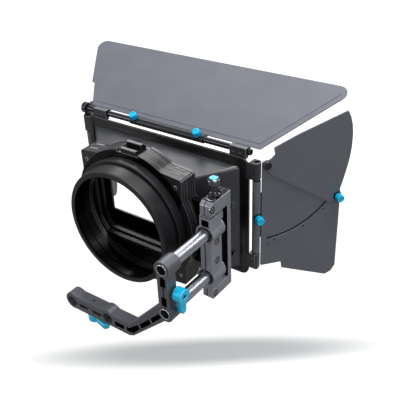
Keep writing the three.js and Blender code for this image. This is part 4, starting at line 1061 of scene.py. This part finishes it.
@dataclass
class RearRing:
    """Stepped ring at the rear that the lens reaches into."""

    inside: float = 76.4
    lip: float = 64.0
    profile: list[Pair] = field(default_factory=lambda: [
        (70.2, 64.2), (70.2, 63.0), (70.5, 62.4), (71.1, 62.2), (75.9, 62.2), (76.9, 62.4),
        (77.4, 63.0), (77.6, 63.9), (79.3, 80.2), (79.2, 81.2), (78.6, 81.6), (78.3, 81.6),
        (78.3, 82.8), (82.3, 82.8), (83.1, 83.1), (83.5, 83.9), (83.5, 94.1), (83.2, 94.9),
        (82.5, 95.2), (76.2, 95.2), (76.2, 89.2), (74.6, 89.2), (74.6, 85.2), (73.5, 84.8),
        (73.5, 79.4), (74.5, 79.0), (74.5, 72.4), (73.2, 72.0), (73.2, 67.6), (74.5, 67.2),
        (74.5, 64.6), (70.9, 64.6),
    ])

    def build(self) -> None:
        """Turn the ring about the optical axis."""
        place = Matrix.Translation((0, 0, AXIS_HEIGHT * MM)) \
            @ Matrix.Rotation(-math.pi / 2, 4, "X")
        ring = turned_piece("rear_ring_turned", self.profile, place, "swing",
                            FINISHES[Slot.RING], ("rear_ring",), 128)
        # Painted shade on the faces inside the rim.
        refinish(ring, replace(INSIDE_SHADE_FINISH, slot=Slot.RING), self.is_inside)

    def is_inside(self, middle: Vector, normal: Vector, corners: list[Vector]) -> bool:
        """Whether a face lies inside the rim, where shade is painted."""
        return math.hypot(middle.x, middle.z - AXIS_HEIGHT) < self.inside and (
            faces_axis(middle, normal, corners) or middle.y > self.lip)


@dataclass
class FilterStages:
    """Filter stages with their trays, clips, screws and the mount beside them.

    Attributes:
        inside: Radius round the optical axis within which shade is painted, in millimetres.
        gap: Width of the painted shade in the gap between two plates, in millimetres.
        rim: Width of the painted highlight beside a gap, in millimetres.
        ear_line: Two points of the trays' ears as X and Z, in millimetres.
        grip_rows: Place of each tray's grip along Y, in millimetres.
        first_rib: Place of a grip's first rib along X, in millimetres.
        rib_pitch: Distance between two ribs, in millimetres.
        rib_lift: Height of a rib's axis over the ear, in millimetres.
        ribs: Number of ribs in a grip.
    """

    inside: float = 74.0
    gap: float = 1.0
    rim: float = 0.7
    ear_line: tuple[Pair, Pair] = ((50.0, 163.4), (77.5, 161.0))
    grip_rows: dict[str, float] = field(default_factory=lambda: {"rear": 104.3, "front": 115.8})
    first_rib: float = 58.5
    rib_pitch: float = 2.3
    rib_radius: float = 0.6
    rib_length: float = 2.6
    rib_lift: float = 0.3
    ribs: int = 6

    def build(self) -> None:
        """Dress the stages, the trays and the clips, and set the screws and the grips."""
        for node in ("rear_stage", "front_stage", "filter_tray_rear", "filter_tray_front"):
            stage = dress(node)
            # Painted shade on the faces round the aperture.
            refinish(stage, replace(INSIDE_SHADE_FINISH, slot=Slot.STAGE), self.is_inside)
            if node.endswith("_stage"):
                self.part_plates(stage, node)
        for node in ("tray_clip_rear", "tray_clip_front"):
            dress(node)
        # The stage mount is darkened all over as painted shade.
        dress("stage_mount", finish=MOUNT_SHADE_FINISH)
        for word in ("upper_right", "upper_left", "lower_right", "lower_left"):
            screw_head(f"stage_screw_{word}", Vector((0, -1, 0)), 2.6, 4.0, 1.5)
        for word, y in self.grip_rows.items():
            for side in Side:
                self.grip(f"tray_{word}_grip_{side.name.lower()}", f"tray_{word}", side, y)

    def part_plates(self, stage: bpy.types.Object, node: str) -> None:
        """Paint shade in the gaps between a stage's plates, each with a painted highlight beside
        it.

        Args:
            stage: The stage.
            node: Its CAD node.
        """
        lows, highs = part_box(node)
        for low in ((lows.y + highs.y) / 2 / MM, highs.y / MM - self.gap):
            # A painted highlight, then painted shade in the gap.
            stripe(stage, EDGE_HIGHLIGHT_FINISH, 1, low - self.rim, low)
            stripe(stage, SEAM_SHADE_FINISH, 1, low, low + self.gap)

    def is_inside(self, middle: Vector, normal: Vector, corners: list[Vector]) -> bool:
        """Whether a face lies round the aperture, where shade is painted."""
        return math.hypot(middle.x, middle.z - AXIS_HEIGHT) < self.inside

    def grip(self, name: str, body: str, side: Side, y: float) -> None:
        """Raise a row of small ribs on a tray's ear, for the fingertips.

        Args:
            name: Name of the row.
            body: Body that it rides on.
            side: Side of the tray.
            y: Place of the row's middle, in millimetres.
        """
        bm = bmesh.new()
        start, end = self.ear_line
        for number in range(self.ribs):
            x = self.first_rib + number * self.rib_pitch
            share = (x - start[0]) / (end[0] - start[0])
            z = start[1] + (end[1] - start[1]) * share
            near = bmesh.ops.create_circle(bm, cap_ends=True, segments=6,
                                           radius=self.rib_radius * MM)["verts"]
            made = bmesh.ops.extrude_face_region(bm, geom=[near[0].link_faces[0]])["geom"]
            far = [item for item in made if isinstance(item, bmesh.types.BMVert)]
            bmesh.ops.translate(bm, verts=far, vec=(0, 0, self.rib_length * MM))
            lay = Matrix.Translation((side.value * x * MM, (y + self.rib_length / 2) * MM,
                                      (z + self.rib_lift) * MM))
            bmesh.ops.transform(bm, matrix=lay @ Matrix.Rotation(math.pi / 2, 4, "X"),
                                verts=[*near, *far])
        bmesh.ops.recalc_face_normals(bm, faces=bm.faces)
        soften(bm, 0.1, 1)
        add_piece(name, bm, body, RIB_FINISH)


@dataclass
class Hood:
    """Flared hood with the square frame round its mouth."""

    edge: float = 0.9
    seam: float = 0.8
    boss_wall: float = 105.0
    boss_facing: float = 0.97

    def build(self) -> None:
        """Dress the shell and the frame."""
        shell = dress("hood_shell", self.edge, 3)
        # Painted shade on the faces that look at the optical axis.
        refinish(shell, INSIDE_SHADE_FINISH, faces_axis)
        # Painted highlight on the flats of the bosses.
        refinish(shell, BOSS_HIGHLIGHT_FINISH, self.is_boss)
        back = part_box("hood_shell")[0].y / MM
        # Painted shade along the hood's joint with the stages.
        stripe(shell, replace(SEAM_SHADE_FINISH, slot=Slot.HOOD), 1, back, back + self.seam)
        dress("hood_frame", self.edge, 3, FRAME_FINISH)

    def is_boss(self, middle: Vector, normal: Vector, corners: list[Vector]) -> bool:
        """Whether a face is the flat of one of the round bosses on the hood's sides, where a
        highlight is painted.
        """
        return abs(normal.x) > self.boss_facing and middle.x * normal.x > self.boss_wall


@dataclass
class FlagHardware:
    """Rods, brackets and knob that carry the flags."""

    radius: float = 4.0
    wall: float = 1.4
    knob_edge: float = 1.0

    def build(self) -> None:
        """Turn the rods, and dress the brackets and the knob."""
        self.rod("top_flag_rod", Vector((1, 0, 0)))
        for word in ("right", "left"):
            self.rod(f"{word}_flag_rod", Vector((0, 0, 1)))
            dress(f"top_bracket_{word}", finish=BRACKET_FINISH)
            for level in ("upper", "lower"):
                dress(f"side_bracket_{level}_{word}", finish=BRACKET_FINISH)
        dress("top_rod_knob", self.knob_edge, 3)

    def rod(self, node: str, axis: Vector) -> None:
        """Turn a flag rod with softened ends.

        Args:
            node: CAD node of the rod.
            axis: Direction of the rod.
        """
        low, high = span_along(node, axis)
        length = (high - low) / MM
        inner = self.radius - self.wall
        turned_piece(f"{node}_turned", [
            (inner, 0.3), (inner + 0.3, 0), (self.radius - 0.5, 0), (self.radius, 0.5),
            (self.radius, length - 0.5), (self.radius - 0.5, length), (inner + 0.3, length),
            (inner, length - 0.3)], seat(node, axis), body_of(node), finish_of(node), (node,))


@dataclass
class TopFlag:
    """Wide flag over the hood, with its barrel and two thumbscrews."""

    normal: Triple = (0.0, -0.48022, 0.87715)

    def build(self) -> None:
        """Dress the flag and turn its thumbscrews."""
        dress("top_flag_panel", PANEL_EDGE)
        dress("top_flag_barrel", finish=BARREL_FINISH)
        for word in ("right", "left"):
            ThumbScrew(f"top_thumbscrew_{word}", self.normal, collar=1.0, stem=1.2).build()


@dataclass
class SideFlag:
    """Flag beside the hood with a folding wing.

    Attributes:
        side: Side of the hood.
        turn: Angle of the flag from the X axis, in degrees.
        pivot: Place of the wing's pivot in the flag's own frame as X and Z, in millimetres.
        guide: Radius of the guide groove's middle, in millimetres.
        groove_floor: Distance of the groove's floor from the rod's axis, in millimetres.
        face: Distance of the flag's outer face from the rod's axis, in millimetres.
        rail_screws: Angle of each screw in the rail, in degrees.
    """

    side: Side
    turn: float
    rod_x: float = 136.8
    rod_y: float = 169.6
    pivot: Pair = (11.33, 163.5)
    guide: float = 105.7
    groove_floor: float = 1.6
    face: float = 2.8
    rail_screws: tuple[float, ...] = (-83.5, -62.0, -44.5)

    def outward(self) -> Vector:
        """Direction off the flag's outer face."""
        angle = math.radians(self.turn)
        return Vector((self.side.value * math.sin(angle), -math.cos(angle), 0))

    def build(self) -> None:
        """Dress the panel, the wing and the hinge, and turn the thumbscrews."""
        word = self.side.name.lower()
        dress(f"{word}_flag_panel", PANEL_EDGE)
        dress(f"{word}_flag_wing", PANEL_EDGE)
        dress(f"{word}_flag_barrel")
        dress(f"{word}_wing_pivot", 0.4)
        self.track()
        out = tuple(self.outward())
        ThumbScrew(f"{word}_hinge_thumbscrew", out, collar=3.4, stem=1.2).build()
        ThumbScrew(f"{word}_wing_thumbscrew", out, collar=2.6, stem=1.6).build()

    def frame_place(self) -> Matrix:
        """Place of the flag's own frame, X along it and Y off its outer face.

        Returns:
            A matrix from the flag's own frame to the world.
        """
        angle = math.radians(self.turn)
        along = Vector((self.side.value * math.cos(angle), math.sin(angle), 0))
        turn = Matrix((along, self.outward(), Vector((0, 0, 1)))).transposed().to_4x4()
        return Matrix.Translation((self.side.value * self.rod_x * MM, self.rod_y * MM, 0)) @ turn

    def strip(self, radii: Pair, levels: Pair, ends: Pair) -> Mesh:
        """Bend a flat strip about the wing's pivot, in the flag's own frame.

        Args:
            radii: Inner and outer radius, in millimetres.
            levels: Distance of its foot and its face from the rod's axis, in millimetres.
            ends: First and last angle, in degrees.

        Returns:
            The strip.
        """
        bm = bmesh.new()
        inner, outer = radii
        low, high = levels
        start = math.radians(ends[0])
        across = Vector((math.cos(start), 0, math.sin(start)))
        pivot = Vector((self.pivot[0], 0, self.pivot[1]))
        corners = [bm.verts.new((pivot + across * radius + Vector((0, level, 0))) * MM)
                   for radius, level in ((inner, low), (outer, low), (outer, high), (inner, high))]
        edges = [bm.edges.new(pair) for pair in zip(corners, corners[1:] + corners[:1])]
        bmesh.ops.spin(bm, geom=corners + edges, cent=pivot * MM, axis=(0, -1, 0),
                       angle=math.radians(ends[1] - ends[0]), steps=36, use_duplicate=False)
        bmesh.ops.holes_fill(bm, edges=[edge for edge in bm.edges if edge.is_boundary], sides=4)
        return bm

    def track(self) -> None:
        """Lay a black strip of painted shade in the guide groove, and the rail with its screws
        below it.
        """
        word = self.side.name.lower()
        guide, floor, face = self.guide, self.groove_floor, self.face
        # A black strip paints the shade in the guide groove.
        track = self.strip((guide - 1.3, guide + 1.3), (floor - 0.1, floor + 0.22), (-88.6, -34.7))
        self.finish_strip(f"{word}_guide_track", track, Slot.PLASTIC, 0.0)
        rail = self.strip((guide + 1.6, guide + 8.4), (face - 0.2, face + 0.18), (-88.6, -38.5))
        self.finish_strip(f"{word}_guide_rail", rail, Slot.FLAG, 0.12)
        for number, angle in enumerate(self.rail_screws):
            turn = math.radians(angle)
            reach = guide + 5.0
            at = Vector((self.pivot[0] + reach * math.cos(turn), face - 1.35,
                         self.pivot[1] + reach * math.sin(turn))) * MM
            up = Matrix.Rotation(-math.pi / 2, 4, "X")
            screw = moved(cap_screw(1.7, 1.6, 0.8),
                          self.frame_place() @ Matrix.Translation(at) @ up)
            bmesh.ops.recalc_face_normals(screw, faces=screw.faces)
            add_piece(f"{word}_rail_screw_{number + 1}", screw, f"{word}_flag",
                      FINISHES[Slot.STEEL])

    def finish_strip(self, name: str, bm: Mesh, slot: Slot, edge: float) -> None:
        """Place a strip, soften it and make it a piece.

        Args:
            name: Name of the piece.
            bm: The strip, in the flag's own frame.
            slot: Slot of its finish.
            edge: Width of its edges' bevel, in millimetres.
        """
        moved(bm, self.frame_place())
        bmesh.ops.recalc_face_normals(bm, faces=bm.faces)
        soften(bm, edge, 2)
        add_piece(name, bm, f"{self.side.name.lower()}_flag", FINISHES[slot])


@dataclass(frozen=True)
class Lamp:
    """Soft square lamp.

    Attributes:
        name: Name of the lamp.
        place: Place of the lamp, in millimetres.
        size: Side of the lamp, in millimetres.
        power: Power in watts.
        target: Point that it faces, in millimetres.
    """

    name: str
    place: Triple
    size: float
    power: float
    target: Triple = (0, 130, 90)

    def hang(self) -> None:
        """Add the lamp to the scene."""
        data = bpy.data.lights.new(self.name, "AREA")
        data.size = self.size * MM
        data.energy = self.power
        lamp = bpy.data.objects.new(self.name, data)
        facing = (Vector(self.target) - Vector(self.place)).to_track_quat("-Z", "Y")
        lamp.matrix_world = Matrix.Translation(Vector(self.place) * MM) \
            @ facing.to_matrix().to_4x4()
        bpy.context.scene.collection.objects.link(lamp)


LAMPS = (
    Lamp("key", (320, 230, 1500), size=800, power=19.0),
    Lamp("back", (-620, 1150, 1050), size=900, power=11.0),
    Lamp("rim", (800, 1150, 860), size=420, power=4.0),
    Lamp("fill", (1150, -500, 700), size=650, power=4.6, target=(0, 100, 90)),
    Lamp("left", (-650, -620, 420), size=450, power=3.6, target=(-40, 60, 90)),
)


@dataclass
class Studio:
    """Camera, floor, lamps and world.

    Attributes:
        azimuth: Camera's turn about Z, in degrees.
        elevation: Camera's height over the horizon, in degrees.
        roll: Camera's roll, in degrees.
        place: Camera's place, in millimetres.
        focal: Focal length in widths of the picture.
        floor: Height of the floor, in millimetres.
        shadow_place: Middle of the painted soft shadow on the floor, in millimetres.
        shadow_reach: Half width and half depth of the shadow, in millimetres.
        near_place: Middle of the slightly dimmed floor, in millimetres.
        near_reach: Half width and half depth of the dimmed floor, in millimetres.
        near_dimming: How much the floor's own white falls there.
        shadow_dimming: How much the floor's own white falls in the painted shadow.
        floor_mirrored: Share of the floor's white that reflections see.
        world_mirrored: Share of the world's white that reflections see.
        ambient: Share of the world's white that lights the object.
    """

    azimuth: float = 36.4274
    elevation: float = 31.0266
    roll: float = -2.3325
    place: Triple = (469.816, -397.379, 512.244)
    focal: float = 626.952 / 400.0
    sensor: float = 36.0
    floor: float = -150.0
    floor_size: float = 8.0
    floor_lit: tuple[float, ...] = (0.25, 0.25, 0.25, 1)
    floor_shaded: tuple[float, ...] = (0.10, 0.12, 0.13, 1)
    shadow_place: Pair = (72.0, 143.0)
    shadow_reach: Pair = (345.0, 40.0)
    near_place: Pair = (0.0, 150.0)
    near_reach: Pair = (900.0, 900.0)
    near_dimming: float = 0.10
    shadow_dimming: float = 0.47
    mask_end: float = 0.7
    floor_mirrored: float = 0.15
    world_mirrored: float = 0.35
    ambient: float = 0.08

    def build(self) -> None:
        """Set the camera, the floor, the world and the lamps."""
        self.camera()
        self.make_floor()
        self.world()
        for lamp in LAMPS:
            lamp.hang()
        bpy.context.scene.view_settings.view_transform = "Standard"

    def camera(self) -> None:
        """Set the camera at the photograph's viewing angle."""
        a, e, r = (math.radians(angle) for angle in (self.azimuth, self.elevation, self.roll))
        back = Vector((math.sin(a) * math.cos(e), -math.cos(a) * math.cos(e), math.sin(e)))
        right = Vector((math.cos(a), math.sin(a), 0))
        up = back.cross(right)
        across = right * math.cos(r) + up * math.sin(r)
        upward = up * math.cos(r) - right * math.sin(r)
        turn = Matrix((across, upward, back)).transposed().to_4x4()
        data = bpy.data.cameras.new("camera")
        data.sensor_width = self.sensor
        data.lens = self.focal * data.sensor_width
        data.clip_start = 0.01
        data.clip_end = 50.0
        camera = bpy.data.objects.new("camera", data)
        camera.matrix_world = Matrix.Translation(Vector(self.place) * MM) @ turn
        bpy.context.scene.collection.objects.link(camera)
        bpy.context.scene.camera = camera

    def make_floor(self) -> None:
        """Lay a white floor well below the object, which catches its shadow faintly and carries a
        painted soft shadow.
        """
        bm = bmesh.new()
        bmesh.ops.create_grid(bm, x_segments=1, y_segments=1, size=self.floor_size,
                              matrix=Matrix.Translation((0, 0, self.floor * MM)))
        mesh = bpy.data.meshes.new("floor")
        bm.to_mesh(mesh)
        bm.free()
        floor = bpy.data.objects.new("floor", mesh)
        bpy.context.scene.collection.objects.link(floor)
        mesh.materials.append(self.floor_material())

    def seen_directly(self, tree: Tree, glossy: float) -> Socket:
        """Mask of the rays that show the background itself.

        Args:
            tree: Tree that gets the nodes.
            glossy: Share that reflections see.

        Returns:
            The mask's socket.
        """
        path = add_node(tree, "LightPath")
        mirrored = add_math(tree, "MULTIPLY", path.outputs["Is Glossy Ray"], glossy)
        first = add_math(tree, "ADD", path.outputs["Is Camera Ray"], mirrored)
        return add_math(tree, "ADD", first, path.outputs["Is Transmission Ray"], clamp=True)

    def floor_material(self) -> bpy.types.Material:
        """White that keeps the object's own shadow faintly, darkens in a painted soft shadow, and
        reads as pure white beyond it.

        Returns:
            The material.
        """
        material = bpy.data.materials.new("floor_white")
        material.use_nodes = True
        tree = material.node_tree
        tree.nodes.remove(tree.nodes["Principled BSDF"])
        # Painted shadow: a soft ellipse that darkens the floor's colour and glow.
        shade = self.round_mask(tree, self.shadow_place, self.shadow_reach)
        near = self.round_mask(tree, self.near_place, self.near_reach)
        plain = add_node(tree, "BsdfDiffuse", {
            "Color": mix_colours(tree, shade, self.floor_lit, self.floor_shaded)})
        dimmed = add_math(tree, "MULTIPLY", near, self.near_dimming)
        lit = add_math(tree, "SUBTRACT", 1.0, dimmed)
        lit = add_math(tree, "SUBTRACT", lit,
                       add_math(tree, "MULTIPLY", shade, self.shadow_dimming))
        seen = self.seen_directly(tree, self.floor_mirrored)
        glow = add_node(tree, "Emission", {"Strength": add_math(tree, "MULTIPLY", seen, lit)})
        both = add_node(tree, "AddShader", {0: plain.outputs[0], 1: glow.outputs[0]})
        tree.links.new(both.outputs[0], tree.nodes["Material Output"].inputs["Surface"])
        return material

    def round_mask(self, tree: Tree, centre: Pair, reach: Pair) \
            -> Socket:
        """Mask of a soft ellipse that lies across the view on the floor.

        Args:
            tree: Tree that gets the nodes.
            centre: Centre of the ellipse, in millimetres.
            reach: Half width and half depth, in millimetres.

        Returns:
            The mask's socket.
        """
        place = add_node(tree, "TexCoord").outputs["Object"]
        across = add_node(tree, "Mapping", {
            "Vector": place, "Location": (centre[0] * MM, centre[1] * MM, 0),
            "Rotation": (0, 0, math.radians(self.azimuth)),
            "Scale": (reach[0] * MM, reach[1] * MM, 1)}, vector_type="TEXTURE")
        flat = add_node(tree, "VectorMath", {0: across.outputs["Vector"], 1: (1, 1, 0)},
                        operation="MULTIPLY")
        ball = add_node(tree, "TexGradient", {"Vector": flat.outputs["Vector"]},
                        gradient_type="SPHERICAL")
        fade = add_node(tree, "MapRange", {
            "Value": ball.outputs["Fac"], "From Max": self.mask_end},
            interpolation_type="SMOOTHSTEP")
        return fade.outputs["Result"]

    def world(self) -> None:
        """White surroundings that light the object gently."""
        world = bpy.data.worlds.new("white_world")
        world.use_nodes = True
        tree = world.node_tree
        seen = self.seen_directly(tree, self.world_mirrored)
        shown = add_math(tree, "MULTIPLY", seen, 1 - self.ambient)
        set_inputs(tree, tree.nodes["Background"], {
            "Color": (1, 1, 1, 1), "Strength": add_math(tree, "ADD", shown, self.ambient)})
        bpy.context.scene.world = world


def main() -> None:
    """Build the studio and every sub-assembly in order."""
    logging.basicConfig(level=logging.INFO, format="%(name)s %(message)s")
    assemblies = [
        Studio(), SupportArm(), SideRods(), SwingBlock(), SwingBracket(), SwingLock(), RearRing(),
        FilterStages(), Hood(), FlagHardware(), TopFlag(), SideFlag(Side.RIGHT, 52.0),
        SideFlag(Side.LEFT, 60.0),
    ]
    for assembly in assemblies:
        LOG.info("%s", type(assembly).__name__)
        assembly.build()
    bpy.context.view_layer.update()


if __name__ == "__main__":
    main()
